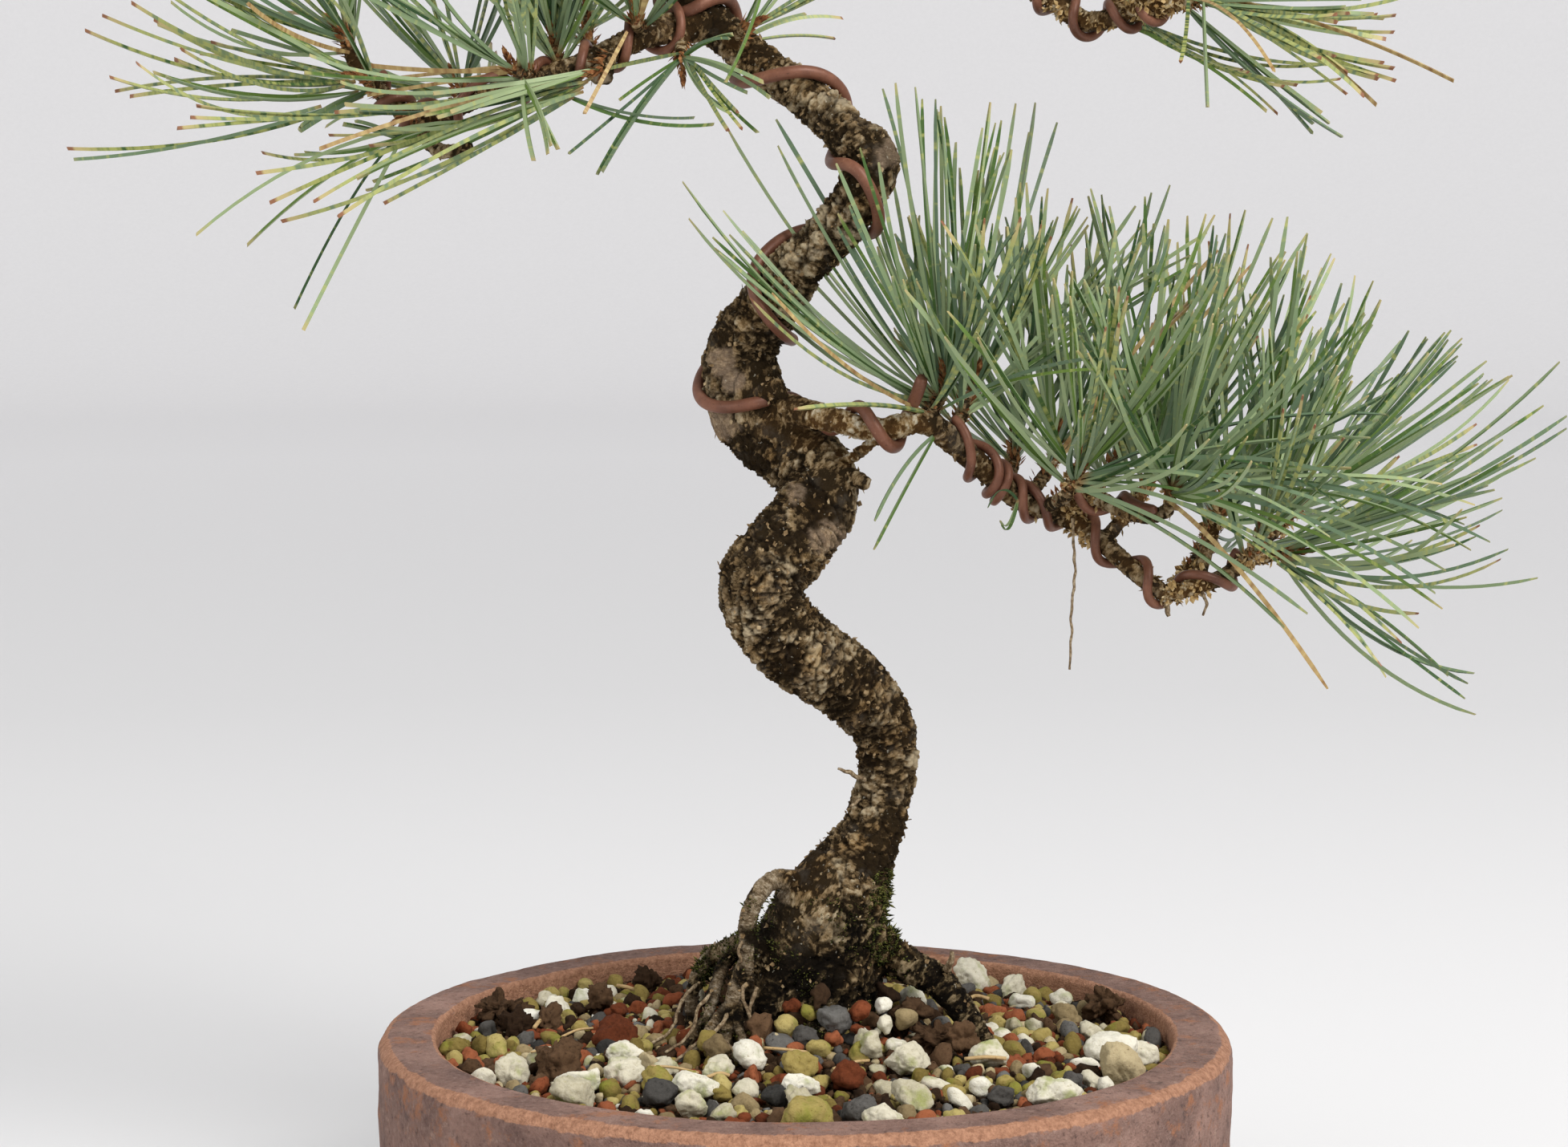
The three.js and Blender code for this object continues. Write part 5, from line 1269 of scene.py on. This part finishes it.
def make_wire(name, route, radius, material):
    route = relaxed(route)
    points = catmull(route, np.linspace(0, len(route) - 1, len(route) * 5))
    radii = np.full(len(points), radius)
    radii[0] = radii[-1] = radius * 0.8  # the cutters pinch the ends
    wire = new_object(f"{name}_round", *tube(points, radii, WIRE_SIDES))
    return keep_piece(wire, material, "wire", name)


def make_wires():
    material = wire_material()
    make_wire("trunk_wire", trunk_wire_route(), TRUNK_WIRE_RADIUS, material)
    for name, route in branch_wire_routes().items():
        make_wire(name, route, BRANCH_WIRE_RADIUS, material)
    return material


# ------------------------------------------------------------------ needles
NEEDLE_MAP = "OFBake"
NEEDLE_COLUMNS = 32
OLD_COLUMN = 20
DEAD_COLUMN = 29
NEEDLE_RINGS = 13
NEEDLE_CORNERS = (0.0, 2.25, -2.25)  # radians; the outer face, between the last two, is the broad one
BLUNT_TIP, SHARP_TIP = 40, 13
FASCICLE_SPREAD = 0.06  # of the needles' length
FASCICLE_SIZES = (3, 4, 4, 5, 5)
SPRAY_LENGTHS = (0.56, 1.0)  # of NEEDLE_LENGTH
SPRAY_BASE_REACH = 12  # how far down its twig a shoot bears needles
GOLDEN_ANGLE = math.pi * (3 - math.sqrt(5))
TONES = {"green": (0, 19), "mixed": (8, 28), "old": (20, 28), "dead": (29, 31)}
TONE_SHARES = {"sharp": (0.8, 0.18, 0.02), "blunt": (0.25, 0.7, 0.05)}  # green, mixed, dead


def frame_round(axis):
    """The axis and two directions across it."""
    axis = unit(axis)
    first = np.cross(axis, [0, 0, 1.0] if abs(axis[2]) < 0.9 else [1.0, 0, 0])
    first = unit(first)
    return axis, first, np.cross(axis, first)


def cone_heading(frame_of_cone, tilt, turn):
    axis, first, second = frame_of_cone
    across = first * math.cos(turn) + second * math.sin(turn)
    return unit(axis * math.cos(tilt) + across * math.sin(tilt))


def needle_strip(base, heading, length, bend, width, twist, column, blunt):
    """One needle: a three-sided tapering body: (vertices, faces, map corners)."""
    along = np.linspace(0, 1, NEEDLE_RINGS) ** 0.9
    middle = base + heading * (along * length)[:, None] + bend * (along ** 2)[:, None]
    sharpness = BLUNT_TIP if blunt else SHARP_TIP
    taper = np.minimum(1, 0.75 + 1.6 * along) * np.minimum(1, (1.03 - along) * sharpness) ** 0.7
    _, first, second = frame_round(heading)
    vertices = []
    for corner_angle in NEEDLE_CORNERS:
        angle = twist + corner_angle
        spoke = first * math.cos(angle) + second * math.sin(angle)
        vertices.append(middle + spoke * (0.5 * width * taper)[:, None])
    vertices = np.stack(vertices, 1).reshape(-1, 3)
    faces = []
    corners = []
    for ring in range(NEEDLE_RINGS - 1):
        for side in range(3):
            a, b = ring * 3 + side, ring * 3 + (side + 1) % 3
            faces.append((a, b, b + 3, a + 3))
            face_number = (side + 2) % 3  # the side between corners 1 and 2 is the outer face
            left = (column + (face_number + 0.15) / 3) / NEEDLE_COLUMNS
            right = (column + (face_number + 0.85) / 3) / NEEDLE_COLUMNS
            low, high = along[ring], along[ring + 1]
            corners.extend([(left, low), (right, low), (right, high), (left, high)])
    faces.append((2, 1, 0))
    last = (NEEDLE_RINGS - 1) * 3
    faces.append((last, last + 1, last + 2))
    middle_column = (column + 0.5) / NEEDLE_COLUMNS
    corners.extend([(middle_column, 0.0)] * 3 + [(middle_column, 1.0)] * 3)
    return vertices, faces, corners


def fascicle(chance, base, tip, arch, count, tone, blunt):
    """A bundle of needles from one sheath, arching towards its tips."""
    span_vector = tip - base
    length = np.linalg.norm(span_vector)
    axis, first, second = frame_round(span_vector)
    start_turn = chance.uniform(0, 2 * math.pi)
    own_column = chance.randint(*TONES[tone])
    strips = []
    for number in range(count):
        turn = start_turn + number * 2 * math.pi / max(count, 2) + chance.uniform(-0.5, 0.5)
        aside = first * math.cos(turn) + second * math.sin(turn)
        off = aside * FASCICLE_SPREAD * length * chance.uniform(0.3, 1.6)
        own_arch = np.array(arch) + np.array([chance.gauss(0, 0.018 * length) for _ in range(3)])
        end = base + span_vector * chance.uniform(0.86, 1.03) + off
        # a parabola through both ends whose middle stands off by the arch
        heading = end - base + 4 * own_arch
        column = own_column if chance.random() < 0.5 else chance.randint(*TONES[tone])
        width = NEEDLE_WIDTH * chance.uniform(0.86, 1.12)
        strips.append(needle_strip(base, unit(heading), np.linalg.norm(heading), -4 * own_arch, width, turn,
                                   column, blunt))
    return strips


def needles_object(name, strips):
    vertices, faces = gather([strip[:2] for strip in strips])
    piece = new_object(name, vertices, faces, smooth=False)
    layer = piece.data.uv_layers.new(name=NEEDLE_MAP)
    corners = np.array([corner for strip in strips for corner in strip[2]], np.float32)
    layer.data.foreach_set("uv", corners.ravel())
    return piece


def random_sprays(chance, shoot):
    """Fascicles spread over the cone of a shoot."""
    name, twig, heading, half_angle, count = shoot
    frame_of_cone = frame_round(np.array(heading, float))
    step = 0.5
    points, radii, _ = fine_limb(twig, step)
    reach = min(len(points) - 1, int(SPRAY_BASE_REACH / step))
    turn = chance.uniform(0, 6.28)
    blunt = not name.startswith("right")
    strips = []
    for index in range(count):
        part = (index + 0.5) / count
        turn += GOLDEN_ANGLE + chance.uniform(-0.35, 0.35)
        tilt = math.radians(half_angle) * math.sqrt(part) * chance.uniform(0.75, 1.18)
        direction = cone_heading(frame_of_cone, tilt, turn)
        back = int(reach * part ** 1.3)
        base = points[-1 - back] + direction * radii[-1 - back] * 0.7
        length = NEEDLE_LENGTH * chance.uniform(*SPRAY_LENGTHS) * (1 - 0.08 * part)
        # the outer fascicles leave flat and turn towards the light
        outward = direction - frame_of_cone[0] * direction.dot(frame_of_cone[0])
        arch = outward * chance.uniform(-0.03, 0.09) - np.array([0, 0, chance.uniform(0.0, 0.035)])
        tone = chance.choices(("green", "mixed", "dead"), TONE_SHARES["blunt" if blunt else "sharp"])[0]
        tip = base + direction * length
        strips += fascicle(chance, base, tip, arch * length, chance.choice(FASCICLE_SIZES), tone, blunt)
    return strips


def make_tuft(shoot, material):
    """A shoot's needles: the scattered fascicles, then those placed one by one."""
    name = shoot[0]
    chance = random.Random(f"tuft {name}")
    strips = random_sprays(chance, shoot)
    blunt = not name.startswith("right")
    for base, tip, arch, count, tone in SPRAYS.get(name, ()):
        base, tip = np.array(base, float), np.array(tip, float)
        strips += fascicle(chance, base, tip, [0, 0, arch], count, tone, blunt)
    piece = needles_object(f"tuft_{name}", strips)
    return keep_piece(piece, material, "needles", f"needles_{name}")


# ------------------------------------------------------------------ soil, grains and lumps
def soil_height(x, y):
    """The grains' level: heaped against the trunk, lowest at the pot's wall."""
    reach = np.hypot(x, y)
    slope = smooth_step(LEVEL_RADIUS, POT_INSIDE, reach)
    fall = smooth_step(MOUND_TOP_RADIUS, MOUND_FOOT_RADIUS, reach)
    return SOIL_LEVEL + (SOIL_EDGE - SOIL_LEVEL) * slope + MOUND_RISE * (1 - fall)


def soil_material():
    """Dark crumbs between the grains."""
    look = Look("fine_soil", roughness=0.95, specular=0.15)
    fine = look.spots(1.6, detail=5, rough=0.7)
    colour = look.ramp(fine, (0.3, (0.016, 0.009, 0.005)), (0.5, (0.055, 0.032, 0.017)),
                       (0.62, (0.13, 0.078, 0.04)), (0.75, (0.27, 0.19, 0.11)))
    return look.finish(colour, None, look.bump(fine, 0.8))


SOIL_SEGMENTS = 240
SOIL_SIDE_GAP = 0.6
SOIL_FLOOR_GAP = 0.35


def make_soil():
    """The fine soil between and under the grains."""
    side = POT_INSIDE - SOIL_SIDE_GAP
    low = POT_FLOOR + SOIL_FLOOR_GAP
    under = quarter_round(side - FLOOR_ROUND, low + FLOOR_ROUND, FLOOR_ROUND, -90, 0, 6)
    top_radii = np.linspace(side, 1.5, 62)
    top = np.stack([top_radii, soil_height(top_radii, 0) - FINE_SOIL_DROP], 1)
    profile = np.vstack([line_points((0, low), under[0], 8), under, line_points(under[-1], top[0], 6), top])
    vertices, faces = lathe(profile, SOIL_SEGMENTS, low, float(soil_height(0, 0)) - FINE_SOIL_DROP)
    soil = new_object("soil_body", vertices, faces)
    vertices = places_of(soil.data)
    upper = smooth_step(SOIL_EDGE - 8, SOIL_EDGE - 4, vertices[:, 2])
    vertices[:, 2] += upper * (0.8 * noise_at(vertices, 3, 1) + 0.5 * noise_at(vertices, 1.4, 2))
    set_places(soil.data, vertices)
    return keep_piece(soil, soil_material(), "soil", "soil")


def ball(levels):
    """A unit icosphere: (vertices, faces)."""
    shape = bmesh.new()
    bmesh.ops.create_icosphere(shape, subdivisions=levels, radius=1)
    vertices = np.array([vertex.co[:] for vertex in shape.verts])
    faces = [tuple(vertex.index for vertex in face.verts) for face in shape.faces]
    shape.free()
    return vertices, faces


def broken_stone(directions, chance, facets=14, roundness=0.25, waves=0.0):
    """A ball cut by random planes, its facets eased by `roundness` and swollen by `waves`."""
    normals = unit(np.array([[chance.gauss(0, 1) for _ in range(3)] for _ in range(facets)]))
    distances = np.array([chance.uniform(0.55, 0.92) for _ in range(facets)])
    cosines = directions @ normals.T
    reach = np.where(cosines > 0.05, distances / np.maximum(cosines, 0.05), 9.0)
    cut = np.minimum(reach.min(axis=1), 1.0) * (1 - roundness) + 0.86 * roundness
    for _ in range(4):
        wave = np.array([chance.gauss(0, 2.6) for _ in range(3)])
        cut += waves * np.sin(directions @ wave + chance.uniform(0, 6.28)) / 4
    return directions * cut[:, None]


def turned_about(vertices, chance):
    """The vertices turned by three random angles."""
    a, b, c = (chance.uniform(0, 2 * math.pi) for _ in range(3))
    turn_z = np.array([[math.cos(a), -math.sin(a), 0], [math.sin(a), math.cos(a), 0], [0, 0, 1]])
    turn_x = np.array([[1, 0, 0], [0, math.cos(b), -math.sin(b)], [0, math.sin(b), math.cos(b)]])
    turn_y = np.array([[math.cos(c), 0, math.sin(c)], [0, 1, 0], [-math.sin(c), 0, math.cos(c)]])
    return vertices @ (turn_z @ turn_x @ turn_y).T


# kind: material slot, dark, middle and light colour, facets, roundness, waves
GRAIN_KINDS = {
    "pumice": ("pumice", (0.34, 0.30, 0.19), (0.60, 0.56, 0.44), (0.77, 0.75, 0.67), 10, 0.17, 0.17),
    "clay": ("soil", (0.11, 0.078, 0.02), (0.27, 0.205, 0.062), (0.44, 0.36, 0.14), 8, 0.5, 0.16),
    "tuff": ("soil", (0.13, 0.09, 0.045), (0.30, 0.23, 0.12), (0.50, 0.42, 0.26), 9, 0.4, 0.2),
    "lava": ("soil", (0.05, 0.014, 0.006), (0.17, 0.045, 0.018), (0.30, 0.10, 0.045), 10, 0.25, 0.3),
    "grit": ("soil", (0.025, 0.024, 0.022), (0.075, 0.07, 0.064), (0.17, 0.165, 0.155), 8, 0.08, 0.12),
    "humus": ("humus", (0.012, 0.006, 0.003), (0.042, 0.023, 0.012), (0.12, 0.068, 0.036), 12, 0.2, 0.45),
}

ALGAE = {"pumice": (0.24, 0.27, 0.06), "clay": (0.19, 0.2, 0.03)}
DETAILED_GRAIN = 1.7  # the radius in mm from which a grain has pits
LARGE_GRAIN = 3

# the larger stones: [x, y, radius] in mm
STONES = {
    "pumice": [
        [-57, 43, 2.5], [-49, 44, 2.5], [-59, 21, 2.5], [-54, 28, 3], [-60, -27, 3.5], [-66, -30, 2.5],
        [-46, -48, 4.5], [-55, -15, 2.5], [-37, -32, 3.5], [-29, -30, 3], [-32, -59, 2], [-18, -33, 3],
        [-16, -60, 2.5], [-23, -57, 3.5], [-12, -45, 2.5], [-11, -27, 3.5], [-1, -56, 3.5], [10, -18, 4.5],
        [17, 36, 3], [20, -33, 3], [21, -53, 4], [15, -67, 3.5], [31, -50, 2.5], [36, -41, 2.5],
        [49, -53, 5], [61, 8, 3], [70, -12, 3.5], [57, 44, 2.5], [48, 39, 2.5], [47, 53, 3], [38, 58, 4.5],
        [9, 60, 3],
    ],
    "clay": [
        [-74, -4, 3], [-62, 33, 2.5], [-49, 58, 2.5], [-36, 47, 2], [-20, -5, 2], [-19, -19, 2.5],
        [-24, -36, 2], [-1, -32, 3.5], [3, -41, 2.5], [-17, -42, 2.5], [0, -69, 4.5], [29, -67, 3],
        [-30, -40, 3.5], [-48, 12, 2], [-65, -4, 2.5], [-35, -14, 2.5], [67, 13, 2.5], [55, -46, 2],
        [34, 7, 2], [42, 39, 2], [65, 39, 2],
    ],
    "tuff": [[65, -28, 4.5], [62, -16, 3.5], [57, 25, 3], [-43, -27, 2]],
    "lava": [
        [-40, -4, 4], [9, -40, 3.5], [-40, 25, 2.5], [46, 23, 2], [7, -9, 2.5], [23, -67, 2.5], [50, -12, 2],
        [38, 4, 2],
    ],
    "grit": [
        [-6, -51, 3], [10, -62, 3.5], [39, -47, 3], [55, -33, 2.5], [57, 10, 2.5], [-29, -49, 3.5],
    ],
    "humus": [
        [-61, 12, 3.5], [-51, -26, 5], [-55, 17, 3], [-35, 58, 3.5], [-24, 14, 3.5], [69, 14, 3],
        [-62, 36, 3], [-45, 33, 3.5], [39, -9, 3], [19, -8, 3],
    ],
}

# stones heaped against the foot of the trunk: [x, y, z, radius] in mm
HEAPED = {
    "grit": [
        [6, -15.5, 67.5, 3.8], [0, -19, 65, 3.2], [-5, -21, 63.5, 2.6], [-24, 2, 66, 2.2], [14, 13, 67, 3],
    ],
    "clay": [
        [-4, -16, 66.5, 2.8], [1, -15.5, 69, 1.8], [-20, -20, 64, 2.5], [3, -24, 63.5, 2.6],
        [20, 12, 66, 2.4],
    ],
    "pumice": [
        [16.5, -12.5, 69.5, 2.3], [16.5, -16, 66.8, 2.3], [13, -22, 63.8, 3.2], [-23, 9, 67, 2.6],
        [23, 5, 67, 2.8],
    ],
    "lava": [
        [11.5, -15, 69, 2.3], [11, -17.5, 66, 1.8], [6, -20, 64.5, 2], [-3, -13.5, 69.5, 2],
        [-10, -20, 63.5, 2],
    ],
    "tuff": [[-18, -23, 63, 3], [21, -13, 67, 2.6]],
    "humus": [
        [-9, -16.5, 66.5, 2.8], [-1, -13.5, 67, 2.6], [3, -15, 72, 2.2], [22, -8, 67.5, 3],
        [33, -17, 63.5, 3], [17, -7, 71, 2.6], [-15, 8, 67, 4], [-6, 16, 67, 4], [6, 18, 67, 4],
    ],
}

# the grains between them: number, smallest and largest radius in mm, closeness, the share of each kind
GRAIN_SIZES = [
    (330, 1.8, 2.7, 0.80,
     {"pumice": 0.09, "clay": 0.26, "tuff": 0.10, "lava": 0.19, "grit": 0.13, "humus": 0.23}),
    (900, 1.1, 1.8, 0.76,
     {"pumice": 0.03, "clay": 0.20, "tuff": 0.12, "lava": 0.25, "grit": 0.12, "humus": 0.28}),
    (2600, 0.6, 1.1, 0.72,
     {"pumice": 0.02, "clay": 0.12, "tuff": 0.12, "lava": 0.25, "grit": 0.12, "humus": 0.37}),
]

GRAIN_TRIES = 14

# the nodes of the larger stones and lumps
LUMPS = {
    "pumice": [f"pumice_{number:02d}" for number in range(1, 10)],
    "humus": [f"humus_{number:02d}" for number in range(1, 4)],
}


def wood_at_soil():
    """Circles [x, y, radius] of the wood where it meets the soil."""
    circles = []
    for _, stations in all_limbs():
        points, radii, _ = fine_limb(stations)
        for point, radius in zip(points, radii):
            level = float(soil_height(point[0], point[1]))
            if level - 5 < point[2] < level + 2:
                circles.append((point[0], point[1], radius))
    return circles


class Ground:
    """Keeps the grains from lying in each other."""

    def __init__(self):
        self.cell = 6.0
        self.cells = {}

    def near_cells(self, x, y):
        column, row = int(x // self.cell), int(y // self.cell)
        return [(column + i, row + j) for i in (-1, 0, 1) for j in (-1, 0, 1)]

    def add(self, x, y, radius):
        reach = int(radius // self.cell) + 1
        column, row = int(x // self.cell), int(y // self.cell)
        for i in range(-reach + 1, reach):
            for j in range(-reach + 1, reach):
                self.cells.setdefault((column + i, row + j), []).append((x, y, radius))

    def room(self, x, y, radius, closeness):
        for key in self.near_cells(x, y):
            for other_x, other_y, other_radius in self.cells.get(key, ()):
                if math.hypot(x - other_x, y - other_y) < closeness * (radius + other_radius):
                    return False
        return True


def grain_places(chance):
    """Places for the grains, the larger first: [(kind, x, y, z, radius)]."""
    ground = Ground()
    for x, y, radius in wood_at_soil():
        ground.add(x, y, radius * 0.9)
    for names in LUMPS.values():
        for name in names:
            low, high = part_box(name)
            middle = (np.array(low) + np.array(high)) / 2 / MM
            ground.add(middle[0], middle[1], (high[0] - low[0]) / 2 / MM * 0.85)
    places = [(kind, *stone) for kind, stones in HEAPED.items() for stone in stones]
    for kind, stones in STONES.items():
        for x, y, radius in stones:
            if ground.room(x, y, radius, 0.7):
                ground.add(x, y, radius)
                z = float(soil_height(x, y)) - FINE_SOIL_DROP + 0.8 * radius
                places.append((kind, x, y, z, radius))
    for count, smallest, largest, closeness, shares in GRAIN_SIZES:
        for _ in range(count):
            radius = chance.uniform(smallest, largest)
            for _ in range(GRAIN_TRIES):
                reach = (POT_INSIDE - radius * 0.9) * math.sqrt(chance.random())
                turn = chance.uniform(0, 2 * math.pi)
                x, y = reach * math.cos(turn), reach * math.sin(turn)
                if ground.room(x, y, radius, closeness):
                    kind = chance.choices(list(shares), list(shares.values()))[0]
                    ground.add(x, y, radius)
                    z = float(soil_height(x, y)) - 2.3 + radius * chance.uniform(0.1, 0.75)
                    places.append((kind, x, y, z, radius))
                    break
    return places


def make_grains():
    """All grains, joined into one piece for each kind."""
    chance = random.Random(20)
    small, middling, large = ball(2), ball(3), ball(4)
    parts = {kind: [] for kind in GRAIN_KINDS}
    tones = {kind: [] for kind in GRAIN_KINDS}
    for kind, x, y, z, radius in grain_places(chance):
        *_, facets, roundness, waves = GRAIN_KINDS[kind]
        directions, faces = large if radius >= LARGE_GRAIN else middling if radius > DETAILED_GRAIN else small
        stone = broken_stone(directions, chance, facets, roundness, waves)
        stone = stone * [chance.uniform(0.95, 1.3), chance.uniform(0.75, 1.05), chance.uniform(0.65, 1)]
        if radius > DETAILED_GRAIN:
            pits = np.maximum(noise_at(stone * radius, 1.1, int(9 * radius)), 0)
            crumbs = noise_at(stone * radius, 0.8 if radius >= LARGE_GRAIN else 1.2, 4)
            stone += directions * ((0.34 if kind == "humus" else 0.1) * crumbs - 0.16 * pits)[:, None]
        stone = turned_about(stone, chance) * radius * 1.12
        parts[kind].append((stone + [x, y, z], faces))
        tones[kind].append(np.full(len(stone), chance.random()))
    for kind, (slot, dark, middle, light, *_) in GRAIN_KINDS.items():
        grains = new_object(f"grains_{kind}", *gather(parts[kind]))
        add_attribute(grains.data, "tone", np.concatenate(tones[kind]))
        look = grain_material(f"{kind}_grain", dark, middle, light, algae=ALGAE.get(kind))
        keep_piece(grains, look, slot)


def make_lumps():
    """The larger stones and lumps, each in its node's box."""
    directions, faces = ball(5)
    for kind, names in LUMPS.items():
        slot, dark, middle, light, facets, roundness, waves = GRAIN_KINDS[kind]
        material = grain_material(f"{kind}_lump", dark, middle, light, algae=ALGAE.get(kind))
        for number, name in enumerate(names):
            chance = random.Random(f"lump {name}")
            stone = broken_stone(directions, chance, facets + 4, roundness, waves)
            low, high = (np.array(corner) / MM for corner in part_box(name))
            stone = (stone - stone.min(axis=0)) / np.ptp(stone, axis=0)
            vertices = low + stone * (high - low)
            depth = 0.3 * noise_at(vertices, 2.2, number) + 0.2 * noise_at(vertices, 0.8, number + 3)
            depth -= 0.5 * np.maximum(noise_at(vertices, 1.1, number + 7) - 0.1, 0)
            if kind == "humus":
                gap, crumb = bark_cells(vertices, 2.3, number)
                depth = 3 * depth + 1.5 * (crumb - 0.6) - 0.8 * gap
            vertices += directions * depth[:, None]
            lump = new_object(f"{name}_stone", vertices, faces)
            add_attribute(lump.data, "tone", np.full(len(vertices), chance.uniform(0.35, 0.9)))
            keep_piece(lump, material, slot, name)


STRAW_COUNT = 16
STRAW_POINTS = 12
STRAW_CLEARANCE = 22  # from the middle, where the trunk stands


def make_straw():
    """A few bits of straw and old needle sheaths on the soil."""
    chance = random.Random(31)
    parts = []
    for _ in range(STRAW_COUNT):
        reach, turn = (POT_INSIDE - 8) * math.sqrt(chance.random()), chance.uniform(0, 2 * math.pi)
        x, y = reach * math.cos(turn), reach * math.sin(turn)
        if math.hypot(x, y) < STRAW_CLEARANCE:
            continue
        length, heading = chance.uniform(4, 11), chance.uniform(0, math.pi)
        along = np.array([math.cos(heading), math.sin(heading), chance.uniform(-0.05, 0.12)]) * length
        middle = np.array([x, y, float(soil_height(x, y)) + chance.uniform(0.4, 1.4)])
        bow = np.array([chance.gauss(0, 0.6), chance.gauss(0, 0.6), 0.5])
        ends_and_bow = [middle - along / 2, middle + bow, middle + along / 2]
        points = catmull(ends_and_bow, np.linspace(0, 2, STRAW_POINTS))
        parts.append(tube(points, np.full(STRAW_POINTS, chance.uniform(0.25, 0.5)), 6))
    straw = new_object("straw_bits", *gather(parts))
    look = grain_material("straw", (0.2, 0.12, 0.05), (0.42, 0.28, 0.13), (0.62, 0.48, 0.27), pit_depth=0.1)
    add_attribute(straw.data, "tone", np.full(len(straw.data.vertices), 0.6))
    return keep_piece(straw, look, "humus")


# ------------------------------------------------------------------ moss
MOSS_BLADES = 3000
CLUMP_HEIGHT = 1.1
FILM_HEIGHT = 0.7


def moss_blades(name, tree, inside, tallest):
    """Tiny ragged blades on the bark inside a part of it."""
    chance = random.Random(f"moss {name}")
    vertices = places_of(tree.data)
    normals = normals_of(tree.data)
    ragged = noise_at(vertices[inside], 3, 2) + 0.5 * noise_at(vertices[inside], 1.2, 3) > -0.1
    places, upwards = vertices[inside][ragged], normals[inside][ragged]
    parts = []
    for index in sorted(chance.sample(range(len(places)), min(len(places), MOSS_BLADES))):
        place, normal = places[index], upwards[index]
        lean = np.array([chance.gauss(0, 0.5), chance.gauss(0, 0.5), chance.gauss(0.25, 0.4)])
        tip = place + (normal + lean) * chance.uniform(0.3, 1.0) * tallest
        side = unit(np.cross(normal, lean)) * chance.uniform(0.14, 0.3)
        parts.append(blade(place - normal * 0.15, tip, side, 0.1))
    return new_object(f"{name}_blades", *gather(parts))


def make_moss(tree):
    """Moss where the CAD has its clumps, and a thin film of it over the damp foot."""
    material = moss_material()
    vertices = places_of(tree.data)
    for name in ("moss_trunk", "moss_root"):
        low, high = (np.array(corner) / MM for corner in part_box(name))
        middle, half = (low + high) / 2, (high - low) / 2
        inside = np.linalg.norm((vertices - middle) / half, axis=1) < 1.0
        keep_piece(moss_blades(name, tree, inside, CLUMP_HEIGHT), material, "moss", name)
    foot = (vertices[:, 2] > 64) & (vertices[:, 2] < 92) & (np.abs(vertices[:, 0]) < 22)
    foot &= noise_at(vertices, 9, 5) > 0.0
    keep_piece(moss_blades("foot_moss", tree, foot, FILM_HEIGHT), material, "moss")


# ------------------------------------------------------------------ stage
FLOOR_RADIUS = 2400.0  # beyond every camera, so that no view stands behind the backdrop
FLOOR_BEND = 500.0
BACKDROP_TOP = 1200.0
BACKDROP_SIDES = 144


def make_backdrop():
    """A plain pale floor that curves up all round."""
    bend = quarter_round(FLOOR_RADIUS, FLOOR_BEND, FLOOR_BEND, -90, 0, 16)
    profile = np.vstack([[[FLOOR_RADIUS - 100, 0]], bend, [[FLOOR_RADIUS + FLOOR_BEND, BACKDROP_TOP]]])
    angles = np.linspace(0, 2 * math.pi, BACKDROP_SIDES, endpoint=False)
    vertices = [(0, 0, 0)]
    for reach, z in profile:
        vertices.extend((reach * math.cos(angle), reach * math.sin(angle), z) for angle in angles)
    faces = [face[::-1] for face in quads(len(profile), BACKDROP_SIDES, 1)]
    faces += [(0, 1 + side, 1 + (side + 1) % BACKDROP_SIDES) for side in range(BACKDROP_SIDES)]
    backdrop = new_object("backdrop", vertices, faces)
    backdrop.data.materials.append(paper_material())


# name: place, size across, power in watts, colour
LIGHTS = {
    "key": ((900, -1000, 1300), 900, 33, (1.0, 0.985, 0.965)),
    "fill": ((-1200, -900, 700), 1200, 7, (1.0, 1.0, 0.98)),
}
LIGHT_TARGET = (0, 0, 200)
SKY_COLOUR = (1.0, 0.995, 1.0, 1)
SKY_STRENGTH = 0.66


def add_light(name, place, size, power, colour):
    """A round soft light that points at LIGHT_TARGET."""
    data = bpy.data.lights.new(name, "AREA")
    data.shape = "DISK"
    data.size = size * MM
    data.energy = power
    data.color = colour
    lamp = bpy.data.objects.new(name, data)
    bpy.context.scene.collection.objects.link(lamp)
    lamp.location = Vector(place) * MM
    lamp.rotation_euler = (Vector(LIGHT_TARGET) - Vector(place)).to_track_quat("-Z", "Y").to_euler()


def light_scene():
    """An even pale sky, a soft key light from the right and a weak fill from the left."""
    world = bpy.data.worlds.new("studio")
    world.use_nodes = True
    background = world.node_tree.nodes["Background"]
    background.inputs["Color"].default_value = SKY_COLOUR
    background.inputs["Strength"].default_value = SKY_STRENGTH
    bpy.context.scene.world = world
    for name, (place, size, power, colour) in LIGHTS.items():
        add_light(name, place, size, power, colour)
    bpy.context.scene.view_settings.view_transform = "Standard"


# ------------------------------------------------------------------ everything
make_camera()
light_scene()
make_backdrop()
make_pot()
make_soil()
make_grains()
make_lumps()
make_straw()
tree_piece = make_tree()
make_moss(tree_piece)
copper = make_wires()
needle_look = needle_material()
for shoot_row in SHOOTS:
    make_tuft(shoot_row, needle_look)
make_flakes(tree_piece)
make_buds()
make_rootlets()

# the nodes that keep their CAD shape
screen_look = plastic_material()
kept_nodes = {"tie_wire": copper}
kept_nodes |= {f"drain_screen_{number}": screen_look for number in range(1, DRAIN_COUNT + 1)}
for node_name, look in kept_nodes.items():
    NODES[node_name].data.materials.clear()
    NODES[node_name].data.materials.append(look)
